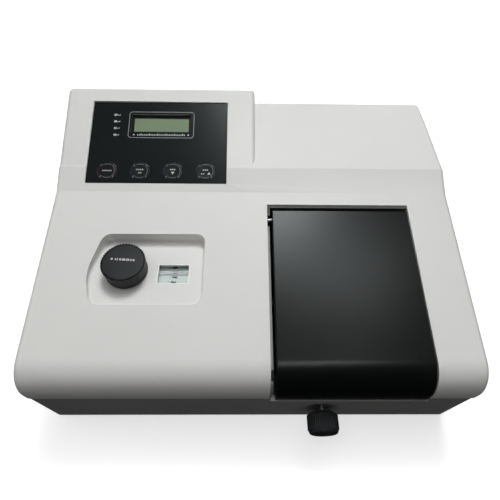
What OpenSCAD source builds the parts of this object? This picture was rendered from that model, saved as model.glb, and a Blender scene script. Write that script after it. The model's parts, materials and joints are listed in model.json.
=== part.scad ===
// Single-beam visible-light spectrophotometer, bench type, 340 to 1000 nm.
// Frame: X to the operator's right, Y to the back, Z up. Origin on the bench under the middle.
// The lid is shut, the cell carriage pushed in, the dial near 520 nm and the switch off.

/* [Case] */
// Overall width of the case, mm
case_width = 468; // [450:1:470]
// Height of the joint between the base tray and the cover, mm
joint_z = 90; // [86:1:92]
// Slope of the front deck from the horizontal, degrees
deck_slope = 8; // [7.5:0.1:8.5]
// Slope of the console face from the horizontal, degrees
console_slope = 18; // [17:0.5:19]
// Wall thickness of the moulded cover, mm
wall = 3; // [2.6:0.1:3.2]
// Radius of the soft edges of the cover, mm
edge_r = 7; // [6:0.5:8]
// Radius of the roll where the deck turns down to the front, mm
roll_r = 32; // [31:0.5:33]
// Height of the rubber feet under the base, mm
foot_h = 7; // [5:0.5:9]

/* [Wavelength control] */
// Diameter of the wavelength knob, mm
knob_d = 47.6; // [45:0.2:49]
// Height of the wavelength knob, mm
knob_h = 18.5; // [16:0.5:20]
// Number of grip flutes round the knob
knob_flutes = 46; // [30:1:50]
// Radius of the dial disc, mm
dial_r = 70; // [69:0.5:71]
// Gear module of the pinion and the sector, mm
gear_module = 1.25; // [1.25:0.01:1.26]
// Teeth on the pinion
pinion_teeth = 12; // [12:1:12]
// Teeth on a full circle of the sector
sector_teeth = 108; // [108:1:108]

/* [Sample compartment] */
// Left edge of the compartment lid, mm
lid_left = 22.3; // [22:0.1:23]
// Right edge of the compartment lid, mm
lid_right = 180; // [179:0.5:180]
// Distance between neighbouring cell wells, mm
cell_pitch = 16; // [15.5:0.5:16]
// Width of a square cell well, mm
well_w = 12.8; // [12.6:0.1:13.2]
// Height of the light beam above the bench, mm
beam_z = 75; // [74:1:76]
// Diameter of the pull rod, mm
rod_d = 6; // [5:0.5:6.5]

/* [Console] */
// Width of the membrane overlay, mm
panel_w = 168.5; // [160:0.5:172]
// Height of the membrane overlay along the slope, mm
panel_h = 112; // [108:0.5:114]
// Diameter of a membrane key, mm
key_d = 23; // [21:0.5:24]
// Distance between neighbouring keys, mm
key_pitch = 39.4; // [38:0.2:40]

/* [Hidden] */
$fn = 48;
half_w = case_width / 2;
front_y = -178;
back_y = 202;
crease = [42, 158];
rear_top = 169.5;
riser_end = 71.5;
riser_slope = atan((rear_top - crease[1]) / (riser_end - crease[0]));
console_right = 3;
console_len = 145.5;
roll_y = front_y + roll_r;
roll_z = crease[1] + (roll_y - crease[0]) * tan(deck_slope) - roll_r / cos(deck_slope);
base_z = foot_h + 2.5;

// Screw posts of the cover: distance from the middle, then Y and top height of each row
post_x = 214;
post_yz = [[-150, deck_z(-150) - 1.5], [184, rear_top - 4.5]];

// Lid opening in the cover and the lid's hinge
open_left = 16.8;
open_right = 181.7;
open_back = 25.6;
hinge = [8.3, 148];
pin_r = 2;

// Knob bay
bay = [[-166.5, -14], [-53.6, -14], [-53.6, -95.5], [-171, -95.5], [-179.5, -60]];
bay_r = [12, 9, 12, 12, 60];
bay_floor = 136;
knob_at = [-138, -54];
window_x = [-103.5, -70.5];
window_y = [-69, -46];
shaft_r = 3;

// Gear train: the grating stands on the far side of the sector
grating_at = knob_at + gear_module * (pinion_teeth + sector_teeth) / 2 * [0.6, 0.8];
mesh_angle = atan2(0.8, 0.6);
grating_turn = 19;

// Beam and carriage
beam_y = -66;
rod_x = 77;
rod_z = 50;
well_n = 4;
box = [28, 176, -152, 0.5, 38];

// Console details, measured along the slope from the crease
panel_at = [-199.5, 10.5];
lcd = [-150.7, 80.5, 73.6, 25.3];
lcd_body = [-154, 72, 81.4, 37];
lamp_marks = [[-171.5, 104.2], [-171, 95], [-170.3, 85.5], [-169.6, 76]];
key_at = [-174.8, 27.2];
key_gap = 0.6;
fan_at = [-150, 50];
inlet_at = [185, 45];
switch_at = [130, 45];
port_at = [65, 45];

// Points of a polygon with each corner rounded to its own radius
function unit(v) = v / norm(v);
function corner(a, b, c, r, n) =
  r <= 0 ? [b] :
  let (u = unit(a - b), w = unit(c - b), half = acos(u * w) / 2,
       mid = b + unit(u + w) * r / sin(half),
       s = b + u * r / tan(half) - mid,
       e = b + w * r / tan(half) - mid,
       a0 = atan2(s[1], s[0]),
       turn = atan2(s[0] * e[1] - s[1] * e[0], s * e))
  [for (i = [0:n]) mid + r * [cos(a0 + turn * i / n), sin(a0 + turn * i / n)]];
function rounded(p, r, n = 8) =
  [for (i = [0:len(p) - 1])
    each corner(p[(i + len(p) - 1) % len(p)], p[i], p[(i + 1) % len(p)], r[i], n)];

// Height of the deck plane, and of the console plane, over a point of the Y axis
function deck_z(y) = crease[1] + (y - crease[0]) * tan(deck_slope);
function console_z(y) = crease[1] + (y - crease[0]) * tan(console_slope);

// Side view of the front roll from angle a0 to a1, moved outwards by d
function roll(d, a0, a1, n = 14) =
  [for (i = [0:n]) let (a = a0 + (a1 - a0) * i / n)
    [roll_y, roll_z] + (roll_r + d) * [cos(a), sin(a)]];

// Side view of the cover's outline moved outwards by d along the deck, the roll and the front
function skin(d, y_back) = concat(
  [[y_back, deck_z(y_back) + d / cos(deck_slope)]],
  roll(d, 90 + deck_slope, 180));
function reverse_list(a) = [for (i = [len(a) - 1:-1:0]) a[i]];

module along_x(x0, x1) {
  translate([x0, 0, 0])
    rotate([90, 0, 90])
      linear_extrude(x1 - x0)
        children();
}

module rod_x(x0, x1, y, z, r) {
  translate([x0, y, z])
    rotate([0, 90, 0])
      cylinder(h = x1 - x0, r = r);
}

module rod_y(x, y0, y1, z, r) {
  translate([x, y0, z])
    rotate([-90, 0, 0])
      cylinder(h = y1 - y0, r = r);
}

module span(x0, x1, y0, y1, z0, z1) {
  translate([x0, y0, z0])
    cube([x1 - x0, y1 - y0, z1 - z0]);
}

module on_deck() {
  translate([0, crease[0], crease[1]])
    rotate([deck_slope, 0, 0])
      children();
}

module on_console() {
  translate([0, crease[0], crease[1]])
    rotate([console_slope, 0, 0])
      children();
}

module rounded_plate(x0, x1, y0, y1, r) {
  polygon(rounded([[x0, y0], [x1, y0], [x1, y1], [x0, y1]], [r, r, r, r]));
}

// Centre of an edge ball that touches the deck plane and a plane of the given slope
function crease_ball(slope, r) =
  let (dy = r * (1 / cos(slope) - 1 / cos(deck_slope)) / (tan(slope) - tan(deck_slope)))
  [crease[0] + dy, crease[1] + dy * tan(deck_slope) - r / cos(deck_slope)];

module cover_post(x, y, z_top) {
  translate([x, y, joint_z])
    cylinder(h = z_top - joint_z, r = edge_r);
}

module edge_ball(x, y, z, r) {
  translate([x, y, z])
    sphere(r = r);
}

// Front part of the cover: deck, front roll and front wall
module cover_front() {
  hull() {
    for (side = [-1, 1]) {
      cover_post(side * (half_w - edge_r), front_y + edge_r, roll_z);
      cover_post(side * (half_w - edge_r), 52, joint_z + 5);
      edge_ball(side * (half_w - edge_r), 52, deck_z(52) - edge_r / cos(deck_slope), edge_r);
      translate([side * (half_w - edge_r), roll_y, roll_z])
        rotate([0, 90, 0])
          rotate_extrude()
            translate([roll_r - edge_r, 0])
              circle(r = edge_r);
    }
  }
}

// Rear part of the cover: riser, rear deck and back wall
module cover_rear() {
  start = crease_ball(riser_slope, edge_r);
  hull() {
    for (side = [-1, 1]) {
      x = side * (half_w - edge_r);
      cover_post(x, start[0], joint_z + 5);
      cover_post(x, back_y - edge_r, joint_z + 5);
      edge_ball(x, start[0], start[1], edge_r);
      edge_ball(x, riser_end + 1, rear_top - edge_r, edge_r);
      edge_ball(x, 164, rear_top - edge_r, edge_r);
      edge_ball(x, back_y - edge_r, rear_top - 1.5 - edge_r, edge_r);
    }
  }
}

// Raised console on the left of the rear deck
module cover_console() {
  right_r = 5;
  start = crease_ball(console_slope, edge_r);
  start_r = crease_ball(console_slope, right_r);
  end_y = crease[0] + console_len * cos(console_slope) - edge_r;
  end_z = crease[1] + console_len * sin(console_slope) - edge_r;
  hull() {
    edge_ball(edge_r - half_w, start[0], start[1], edge_r);
    edge_ball(console_right - right_r, start_r[0], start_r[1], right_r);
    edge_ball(edge_r - half_w, end_y, end_z, edge_r);
    edge_ball(console_right - right_r, end_y + 1.4, end_z + 1.4, right_r);
    edge_ball(edge_r - half_w, 188, 150, edge_r);
    edge_ball(console_right - right_r, 190, 150, right_r);
    edge_ball(edge_r - half_w, 60, 140, edge_r);
    edge_ball(console_right - right_r, 60, 140, right_r);
  }
}

// The hollow inside the cover
module cover_hollow() {
  ends = half_w - wall;
  low = joint_z - 1;
  along_x(-ends, ends)
    polygon(concat([[52, low], [52, deck_z(52) - wall / cos(deck_slope)]],
      [for (p = skin(-wall, 51)) p], [[front_y + wall, low]]));
  along_x(-ends, ends)
    polygon([[40, low], [40, deck_z(40) - wall / cos(deck_slope)],
      [crease[0] + 0.6, crease[1] - wall / cos(riser_slope)],
      [riser_end + 0.6, rear_top - wall], [164, rear_top - wall],
      [back_y - wall - 4, rear_top - 4.5 - wall], [back_y - wall, rear_top - 11],
      [back_y - wall, low]]);
  along_x(-ends, console_right - wall)
    polygon([[40, 120], [40, deck_z(40) - wall / cos(deck_slope)],
      [crease[0] + 0.4, crease[1] - wall / cos(console_slope)],
      [169, console_z(169) - wall / cos(console_slope)], [173.5, console_z(169) - 4],
      [190, 150], [190, 120]]);
}

module bay_outline(grow = 0) {
  polygon(rounded(
    [for (p = bay) p + grow * [p[0] < -100 ? -1 : 1, p[1] < -90 ? -1 : p[1] < -30 ? 0 : 1]],
    [for (r = bay_r) r + grow]));
}

// Rim of the lid opening under the deck, the roll and the front
module lid_rim(x0, x1) {
  along_x(x0, x1)
    polygon(concat(skin(-0.5, open_back - 0.4),
      [[front_y + 0.5, joint_z], [front_y + 14, joint_z]],
      reverse_list(skin(-14, open_back - 0.4))));
}

// Narrow ledge in the left gap of the lid, with a break halfway down the roll
module gap_ledge() {
  top = -6;
  low = -8.5;
  lower_top = -3;
  lower_low = -5.5;
  back = 0.4;
  break_start = 119;
  break_end = 145;
  along_x(open_left - 0.5, open_left + 2.8) {
    polygon(concat([[back, deck_z(back) + top / cos(deck_slope)]],
      roll(top, 90 + deck_slope, break_start),
      roll(low, break_start, 90 + deck_slope),
      [[back, deck_z(back) + low / cos(deck_slope)]]));
    polygon(concat(roll(lower_top, break_end, 180),
      [[front_y - lower_top, joint_z], [front_y - lower_low, joint_z]],
      roll(lower_low, 180, break_end)));
  }
}

// Off-white moulded cover with the console, the deck, the knob bay and the lid opening
module case() {
  color("whitesmoke")
    difference() {
      union() {
        difference() {
          union() {
            cover_front();
            cover_rear();
            cover_console();
          }
          cover_hollow();
          span(-half_w - 1, half_w + 1, front_y - 1, back_y + 1, joint_z - 30, joint_z);
          span(open_left, open_right, front_y - 5, open_back, joint_z - 1, 175);
        }
        intersection() {
          union() {
            cover_front();
            cover_console();
          }
          translate([0, 0, bay_floor - wall])
            linear_extrude(40)
              bay_outline(2.5);
        }
        lid_rim(open_left - wall, open_left);
        lid_rim(open_right, open_right + wall);
        gap_ledge();
        for (x = [-198.5, -32])
          for (t = [5, 128])
            on_console()
              translate([x, t, -9.4])
                cylinder(h = 7, r = 3);
        for (x = [-post_x, post_x])
          for (p = post_yz)
            translate([x, p[0], base_z])
              cylinder(h = p[1] - base_z, r = 5);
      }
      // knob bay
      translate([0, 0, bay_floor])
        linear_extrude(40)
          bay_outline();
      translate([knob_at[0], knob_at[1], bay_floor - wall - 1])
        cylinder(h = wall + 2, r = 6);
      span(window_x[0], window_x[1], window_y[0], window_y[1], bay_floor - wall - 1, bay_floor + 1);
      // bed of the membrane overlay, the display, the keys and the lamps
      on_console() {
        translate([0, 0, -0.8])
          linear_extrude(5)
            rounded_plate(panel_at[0], panel_at[0] + panel_w, panel_at[1],
              panel_at[1] + panel_h, 1);
        span(lcd[0] - 0.5, lcd[0] + lcd[2] + 0.5, lcd[1] - 0.5, lcd[1] + lcd[3] + 0.5, -8, 2);
        for (i = [0:3])
          translate([key_at[0] + i * key_pitch, key_at[1], 0]) {
            translate([0, 0, -1.9])
              cylinder(h = 3, r = key_d / 2 + key_gap);
            translate([0, 0, -6])
              cylinder(h = 8, r = 3.2);
          }
        for (p = lamp_marks)
          translate([p[0], p[1], -6])
            cylinder(h = 8, r = 1.8);
      }
      // hinge pin bores
      rod_x(open_left - wall - 1, open_left + 1, hinge[0], hinge[1], pin_r);
      rod_x(open_right - 1, open_right + wall + 1, hinge[0], hinge[1], pin_r);
      // screw bores in the corner posts
      for (x = [-post_x, post_x])
        for (p = post_yz)
          translate([x, p[0], base_z - 1])
            cylinder(h = 25, r = 1.5);
      // air slots in the back wall
      for (i = [0:13])
        span(-205 + i * 12, -199 + i * 12, back_y - wall - 1, back_y + 1, 104, 146);
    }
}

// Dark grey base tray with its rear cut-outs, rod hole, air slots and board posts
module base_tray() {
  color("dimgray")
    difference() {
      union() {
        difference() {
          translate([0, 0, foot_h])
            linear_extrude(joint_z - foot_h)
              rounded_plate(1 - half_w, half_w - 1, front_y + 1, back_y - 1, 6);
          translate([0, 0, base_z])
            linear_extrude(joint_z)
              rounded_plate(3.5 - half_w, half_w - 3.5, front_y + 3.5, back_y - 3.5, 3.5);
        }
        for (x = [34, 116])
          for (y = [74, 176])
            translate([x, y, base_z - 0.5])
              cylinder(h = 12.5, r = 4);
        // sill under the lid's front edge
        span(open_left + 1, open_right - 1, front_y - 2.6, front_y + 3, joint_z - 3.4,
          joint_z - 0.4);
      }
      rod_y(rod_x, front_y - 1, front_y + 5, rod_z, 4.5);
      rod_y(fan_at[0], back_y - 5, back_y + 1, fan_at[1], 28);
      span(inlet_at[0] - 14.5, inlet_at[0] + 14.5, back_y - 5, back_y + 1,
        inlet_at[1] - 12.5, inlet_at[1] + 12.5);
      span(switch_at[0] - 8.5, switch_at[0] + 8.5, back_y - 5, back_y + 1,
        switch_at[1] - 11.5, switch_at[1] + 11.5);
      span(port_at[0] - 10, port_at[0] + 10, back_y - 5, back_y + 1,
        port_at[1] - 5.5, port_at[1] + 5.5);
      for (x = [-post_x, post_x])
        for (p = post_yz)
          translate([x, p[0], foot_h - 1])
            cylinder(h = 5, r = 2.2);
      for (i = [0:9])
        span(-170 + i * 9, -166 + i * 9, 140, 176, foot_h - 1, base_z + 1);
      for (i = [0:9])
        span(126 + i * 9, 130 + i * 9, 30, 80, foot_h - 1, base_z + 1);
    }
}

// Four rubber feet
module feet() {
  color("black")
    for (x = [-190, 190])
      for (y = [-140, 150])
        translate([x, y, 0])
          difference() {
            cylinder(h = foot_h, r = 12);
            translate([0, 0, -1])
              cylinder(h = 3.5, r = 4.5);
          }
}

// Four screws that hold the cover to the base
module case_screws() {
  color("silver")
    for (x = [-post_x, post_x])
      for (p = post_yz)
        translate([x, p[0], foot_h - 2.4]) {
          difference() {
            cylinder(h = 2.4, r = 4);
            translate([-3, -0.6, -1])
              cube([6, 1.2, 2]);
            translate([-0.6, -3, -1])
              cube([1.2, 6, 2]);
          }
          cylinder(h = 20, r = 1.5);
        }
}

// Black membrane overlay with a display cut-out, four key holes and four lamp holes
module membrane_panel() {
  color("black")
    on_console()
      difference() {
        translate([0, 0, -0.8])
          linear_extrude(0.8)
            rounded_plate(panel_at[0] + 0.3, panel_at[0] + panel_w - 0.3, panel_at[1] + 0.3,
              panel_at[1] + panel_h - 0.3, 0.7);
        span(lcd[0], lcd[0] + lcd[2], lcd[1], lcd[1] + lcd[3], -2, 1);
        for (i = [0:3])
          translate([key_at[0] + i * key_pitch, key_at[1], -2])
            cylinder(h = 4, r = key_d / 2 + key_gap);
        for (p = lamp_marks)
          translate([p[0], p[1], -2])
            cylinder(h = 4, r = 1.8);
      }
}

module key(i) {
  color("black")
    on_console()
      translate([key_at[0] + (i - 1) * key_pitch, key_at[1], 0]) {
        difference() {
          translate([0, 0, -1.1])
            cylinder(h = 1.5, r = key_d / 2);
          translate([0, 0, 0.15])
            cylinder(h = 1, r = key_d / 2 - 4);
        }
        translate([0, 0, -5.6])
          cylinder(h = 4.6, r = 2.5);
      }
}

// First to fourth membrane key with its stem
module key_1() { key(1); }
module key_2() { key(2); }
module key_3() { key(3); }
module key_4() { key(4); }

// Four push switches under the keys
module key_switches() {
  color("slategray")
    on_console()
      for (i = [0:3])
        translate([key_at[0] + i * key_pitch, key_at[1], -9.4]) {
          translate([-6, -6, 0])
            cube([12, 12, 2.4]);
          cylinder(h = 3.2, r = 3.4);
        }
}

// Board behind the console that carries the switches and the display
module keypad_board() {
  color("darkgreen")
    on_console()
      difference() {
        span(-206, -24, 0, 133, -11, -9.4);
        for (x = [-198.5, -32])
          for (t = [5, 128])
            translate([x, t, -12])
              cylinder(h = 4, r = 1.6);
      }
}

// Two-line character display with its board and metal frame
module lcd_module() {
  color("olivedrab")
    on_console()
      difference() {
        union() {
          span(lcd_body[0], lcd_body[0] + lcd_body[2], lcd_body[1], lcd_body[1] + lcd_body[3],
            -9.4, -7.8);
          span(lcd[0] - 1, lcd[0] + lcd[2] + 1, lcd[1] - 1.5, lcd[1] + lcd[3] + 1.5, -7.8, -3.8);
        }
        span(-148, -80, 81, 99.2, -4.6, -3);
      }
}

// Clear pane over the display
module lcd_window() {
  color("lightcyan", 0.5)
    on_console()
      span(lcd[0] - 0.5, lcd[0] + lcd[2] + 0.5, lcd[1] - 0.5, lcd[1] + lcd[3] + 0.5, -3.8, -2.6);
}

// Four mode lamps
module indicator_lights() {
  color("red")
    on_console()
      for (p = lamp_marks)
        translate([p[0], p[1], -9.4])
          cylinder(h = 9.2, r = 1.5);
}

// Fluted black knob
module wavelength_knob() {
  color("black")
    translate([knob_at[0], knob_at[1], bay_floor + 1])
      difference() {
        union() {
          cylinder(h = 1.6, r = knob_d / 2 - 1.2);
          translate([0, 0, 1.6])
            cylinder(h = knob_h - 2.6, r = knob_d / 2);
          translate([0, 0, knob_h - 1])
            cylinder(h = 1, r1 = knob_d / 2, r2 = knob_d / 2 - 1);
        }
        for (i = [0:knob_flutes - 1])
          rotate(i * 360 / knob_flutes)
            translate([knob_d / 2 + 0.6, 0, -1])
              cylinder(h = knob_h - 1.5, r = 1.2);
        translate([0, 0, -1])
          cylinder(h = 13, r = shaft_r);
      }
}

// Steel shaft from the knob down to the monochromator cover
module knob_shaft() {
  color("silver")
    translate([knob_at[0], knob_at[1], 113.2])
      cylinder(h = bay_floor + 13 - 113.2, r = shaft_r);
}

// Brass bush in the floor of the knob bay
module shaft_bush() {
  color("goldenrod")
    translate([knob_at[0], knob_at[1], bay_floor - wall - 3])
      difference() {
        union() {
          cylinder(h = 3, r = 8);
          cylinder(h = 6.8, r = 6);
        }
        translate([0, 0, -1])
          cylinder(h = 10, r = shaft_r + 0.05);
      }
}

// Wavelength dial disc on its hub
module wavelength_dial() {
  color("white")
    translate([knob_at[0], knob_at[1], 121.5])
      difference() {
        union() {
          cylinder(h = 6, r = 9);
          translate([0, 0, 5.5])
            cylinder(h = 1.5, r = dial_r);
        }
        translate([0, 0, -1])
          cylinder(h = 10, r = shaft_r);
      }
}

// Clear pane over the dial window
module scale_window() {
  color("lightcyan", 0.5)
    difference() {
      union() {
        span(window_x[0] - 3, window_x[1] + 3, window_y[0] - 3, window_y[1] + 3,
          bay_floor - wall - 1.2, bay_floor - wall);
        span(window_x[0], window_x[1], window_y[0], window_y[1],
          bay_floor - wall - 0.2, bay_floor - 1.6);
      }
      span(window_x[0] - 4, window_x[1] + 4, knob_at[1] - 0.3, knob_at[1] + 0.3,
        bay_floor - wall - 2, bay_floor - wall - 0.8);
    }
}

// Reading line under the pane
module cursor_line() {
  color("white")
    span(window_x[0] - 3, window_x[1] + 3, knob_at[1] - 0.3, knob_at[1] + 0.3,
      bay_floor - wall - 1.2, bay_floor - wall - 0.8);
}

// One straight-flanked gear tooth pointing along X on a wheel of pitch radius r
module tooth(r) {
  m = gear_module;
  polygon([[r - 1.4 * m, -0.85 * m], [r - 0.9 * m, -0.8 * m], [r, -0.62 * m],
    [r + 0.8 * m, -0.26 * m], [r + 0.8 * m, 0.26 * m], [r, 0.62 * m],
    [r - 0.9 * m, 0.8 * m], [r - 1.4 * m, 0.85 * m]]);
}

// Brass pinion on the knob shaft
module pinion() {
  r = gear_module * pinion_teeth / 2;
  color("goldenrod")
    translate([knob_at[0], knob_at[1], 115.5])
      difference() {
        union() {
          linear_extrude(5)
            union() {
              circle(r = r - 1.2 * gear_module);
              for (i = [0:pinion_teeth - 1])
                rotate(mesh_angle + i * 360 / pinion_teeth)
                  tooth(r);
            }
          cylinder(h = 6, r = 5.4);
        }
        translate([0, 0, -1])
          cylinder(h = 10, r = shaft_r);
      }
}

// Toothed sector on the grating shaft
module sector_gear() {
  r = gear_module * sector_teeth / 2;
  pitch = 360 / sector_teeth;
  reach = r - 1.2 * gear_module;
  color("goldenrod")
    translate([grating_at[0], grating_at[1], 116])
      difference() {
        union() {
          linear_extrude(4)
            rotate(mesh_angle + 180) {
              intersection() {
                difference() {
                  circle(r = reach, $fn = 180);
                  circle(r = reach - 10, $fn = 120);
                }
                polygon([[0, 0], [90, -90 * tan(28)], [90, 90 * tan(28)]]);
              }
              for (a = [-20, 20])
                rotate(a)
                  translate([4, -4])
                    square([reach - 8, 8]);
              for (i = [-8:7])
                rotate((i + 0.5) * pitch)
                  tooth(r);
            }
          cylinder(h = 7, r = 9);
        }
        translate([0, 0, -1])
          cylinder(h = 10, r = 4);
      }
}

// Shaft and turntable with the upright that holds the grating
module grating_table() {
  color("dimgray")
    translate([grating_at[0], grating_at[1], 0]) {
      translate([0, 0, 22])
        cylinder(h = 102, r = 4);
      translate([0, 0, 40])
        cylinder(h = 5, r = 22);
      rotate(grating_turn)
        translate([-17, -5, 44])
          cube([34, 12, 52]);
    }
}

// Ruled grating block
module grating() {
  color("lightsteelblue")
    translate([grating_at[0], grating_at[1], 0])
      rotate(grating_turn)
        translate([-15, -11, beam_z - 15])
          cube([30, 6, 30]);
}

// Black cast box of the monochromator, with the snout to the compartment
module mono_housing() {
  color([0.12, 0.12, 0.13])
    difference() {
      union() {
        span(-205, 8, -152, 48, 12, 110);
        for (p = [[-190, -137], [-190, 33], [-10, -50]])
          translate([p[0], p[1], base_z])
            cylinder(h = 5, r = 9);
        rod_x(7, 27.5, beam_y, beam_z, 10);
      }
      difference() {
        span(-201, 4, -148, 44, 16, 111);
        translate([grating_at[0], grating_at[1], 15])
          cylinder(h = 20, r = 10);
      }
      translate([grating_at[0], grating_at[1], 20])
        cylinder(h = 20, r = 4.05);
      rod_x(3, 28, beam_y, beam_z, 6);
      rod_y(-150, 43, 49, beam_z, 6);
    }
}

// Cover plate of the monochromator with the lower shaft bearing
module mono_cover() {
  color([0.16, 0.16, 0.17])
    difference() {
      union() {
        span(-205, 8, -152, 48, 110, 113);
        translate([knob_at[0], knob_at[1], 113])
          cylinder(h = 2, r = 6);
      }
      translate([knob_at[0], knob_at[1], 113])
        cylinder(h = 3, r = shaft_r + 0.05);
      translate([grating_at[0], grating_at[1], 109])
        cylinder(h = 5, r = 4.05);
      for (x = [-200, -100, 3])
        for (y = [-147, 43])
          translate([x, y, 112])
            cylinder(h = 2, r = 2.5);
    }
}

module mirror(x, y, turn) {
  color("aliceblue")
    translate([x, y, beam_z])
      rotate([-90, 0, -turn])
        cylinder(h = 6, r = 20);
}

// Collimating mirror and focusing mirror
module collimating_mirror() { mirror(-150, -136, 10.2); }
module focusing_mirror() { mirror(-45, -136, 7.2); }

// Brackets behind the two mirrors
module mirror_mounts() {
  color("gray")
    for (m = [[-150, 10.2], [-45, 7.2]])
      translate([m[0], -136, 0])
        rotate(-m[1]) {
          span(-22, 22, -5, 0, 16, 98);
          span(-22, 22, 0, 14, 16, 20);
        }
}

module slit_plate() {
  difference() {
    rod_x(0, 1.5, 0, 0, 8);
    span(-1, 3, -0.5, 0.5, -4, 4);
  }
}

// Slit plates at the way in and the way out of the monochromator
module entrance_slit() {
  color("dimgray")
    translate([-150, 48, beam_z])
      rotate(90)
        slit_plate();
}

module exit_slit() {
  color("dimgray")
    translate([2.5, beam_y, beam_z])
      slit_plate();
}

// Desiccant can inside the monochromator
module desiccant_can() {
  color("lightsteelblue")
    translate([-180, -60, 16])
      difference() {
        cylinder(h = 50, r = 16);
        for (i = [0:5])
          rotate(i * 60)
            translate([8, 0, 47])
              cylinder(h = 5, r = 2);
      }
}

// Lamp house with the lens tube, a cable slot and air holes
module lamp_house() {
  color("silver")
    difference() {
      union() {
        span(-190, -110, 60, 132, base_z, 116);
        rod_y(-150, 50, 61, beam_z, 15);
      }
      span(-188, -112, 62, 133, base_z + 2, 114);
      rod_y(-150, 49, 63, beam_z, 12);
      for (i = [0:5])
        span(-182 + i * 12, -176 + i * 12, 75, 120, 113, 117);
    }
}

// Tungsten-halogen capsule lamp
module tungsten_lamp() {
  color("lightyellow")
    translate([-150, 96, 0]) {
      translate([0, 0, 64])
        cylinder(h = 18, r = 6);
      translate([0, 0, 82])
        sphere(r = 6);
      span(-5, 5, -3, 3, 56, 65);
      for (x = [-3, 3])
        translate([x, 0, 50])
          cylinder(h = 7, r = 0.7);
    }
}

// Ceramic lamp socket on its bracket
module lamp_socket() {
  color("ivory")
    translate([-150, 96, 0])
      difference() {
        union() {
          span(-10, 10, -8, 8, 40, 55);
          span(-14, 14, -10, 10, base_z + 2, 14);
          span(-6, 6, -5, 5, 13, 41);
        }
        for (x = [-3, 3])
          translate([x, 0, 50])
            cylinder(h = 7, r = 0.7);
      }
}

// Condenser lens in the lens tube
module condenser_lens() {
  color("lightcyan", 0.6)
    translate([-150, 52, beam_z])
      rotate([-90, 0, 0])
        intersection() {
          cylinder(h = 5.5, r = 12);
          translate([0, 0, 26])
            sphere(r = 26, $fn = 96);
        }
}

// Heat-absorbing glass
module heat_filter() {
  color("paleturquoise", 0.6)
    span(-164, -136, 62, 64.5, beam_z - 14, beam_z + 14);
}

// Black sample compartment with beam holes and the shelf under the hinge
module sample_box() {
  color([0.08, 0.08, 0.09])
    difference() {
      union() {
        intersection() {
          difference() {
            span(box[0], box[1], box[2], box[3], box[4], 160);
            span(box[0] + 2.5, box[1] - 2.5, box[2] + 2.5, box[3] - 2.5, box[4] + 3, 161);
          }
          on_deck()
            span(0, 200, -230, 5, -130, -5);
        }
        span(box[0], box[1], box[3], 25.3, 126, 128.5);
        span(box[0], box[1], 21.9, 25.3, 128, 146);
        for (x = [40, 150])
          for (y = [-140, -20])
            translate([x, y, base_z])
              cylinder(h = 29, r = 6);
      }
      rod_x(box[0] - 1, box[0] + 4, beam_y, beam_z, 6);
      rod_x(box[1] - 4, box[1] + 1, beam_y, beam_z, 6);
      rod_y(rod_x, box[2] - 1, box[2] + 4, rod_z, 5);
    }
}

// Black compartment lid, wrapped over the front roll, with its skirts and hinge ears
module lid() {
  back = 16.7;
  color([0.1, 0.1, 0.11])
    difference() {
      union() {
        along_x(lid_left, lid_right)
          polygon(concat(skin(1.5, back), [[front_y - 1.5, joint_z + 1],
            [front_y + 1.5, joint_z + 1]], reverse_list(skin(-1.5, back))));
        for (x = [lid_left, lid_right - 2.5])
          along_x(x, x + 2.5) {
            polygon(concat(skin(-1, back), [[front_y + 1, joint_z + 1],
              [front_y + 6.5, joint_z + 1]], reverse_list(skin(-6.5, back))));
            translate(hinge)
              circle(r = 5.5);
          }
      }
      rod_x(lid_left - 1, lid_left + 4, hinge[0], hinge[1], pin_r + 0.05);
      rod_x(lid_right - 4, lid_right + 1, hinge[0], hinge[1], pin_r + 0.05);
    }
}

// Two steel hinge pins
module hinge_pins() {
  color("silver") {
    rod_x(open_left - wall, lid_left + 3, hinge[0], hinge[1], pin_r);
    rod_x(lid_right - 3, open_right + wall, hinge[0], hinge[1], pin_r);
  }
}

// Dark strip that closes the back of the lid opening, with a foot beside the left hinge
module seal_strip() {
  lift = 0.8 / cos(deck_slope);
  color("dimgray") {
    along_x(open_left + 0.4, open_right - 0.4)
      polygon([[21.9, 146], [25.3, 146], [25.3, deck_z(25.3) - lift],
        [21.9, deck_z(21.9) - lift]]);
    on_deck()
      span(open_left + 0.4, open_left + 3.2, -31, -17.2, -4, -0.8);
  }
}

// Foam gasket on the rim of the sample box
module lid_gasket() {
  color("darkslategray")
    intersection() {
      difference() {
        span(box[0], box[1], box[2], box[3], box[4], 160);
        span(box[0] + 2.5, box[1] - 2.5, box[2] + 2.5, box[3] - 2.5, box[4] - 1, 161);
      }
      on_deck()
        span(0, 200, -201, 5, -5, -1.8);
    }
}

// Two guide rails of the cell carriage
module carriage_rails() {
  color("silver")
    for (x = [-13, 13])
      rod_y(rod_x + x, box[2] + 2.5, box[3] - 2.5, 47, 3);
}

// Sliding block that runs on the rails
module carriage_slide() {
  color("gray")
    difference() {
      span(rod_x - 19, rod_x + 19, beam_y - 9, beam_y + 9 + (well_n - 1) * cell_pitch, 42, 56);
      for (x = [-13, 13])
        rod_y(rod_x + x, beam_y - 20, beam_y + 80, 47, 3.05);
      rod_y(rod_x, beam_y - 10, beam_y + 5, rod_z, rod_d / 2);
    }
}

// Holder with four square wells and a light path through each
module cell_holder() {
  color([0.15, 0.15, 0.16])
    difference() {
      span(rod_x - 11, rod_x + 11, beam_y - 9, beam_y + 9 + (well_n - 1) * cell_pitch, 56, 98);
      for (i = [0:well_n - 1]) {
        span(rod_x - well_w / 2, rod_x + well_w / 2, beam_y + i * cell_pitch - well_w / 2,
          beam_y + i * cell_pitch + well_w / 2, beam_z - 15, 99);
        rod_x(rod_x - 12, rod_x + 12, beam_y + i * cell_pitch, beam_z, 4);
      }
    }
}

// Steel pull rod
module pull_rod() {
  color("silver")
    rod_y(rod_x, -190, beam_y + 5, rod_z, rod_d / 2);
}

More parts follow.
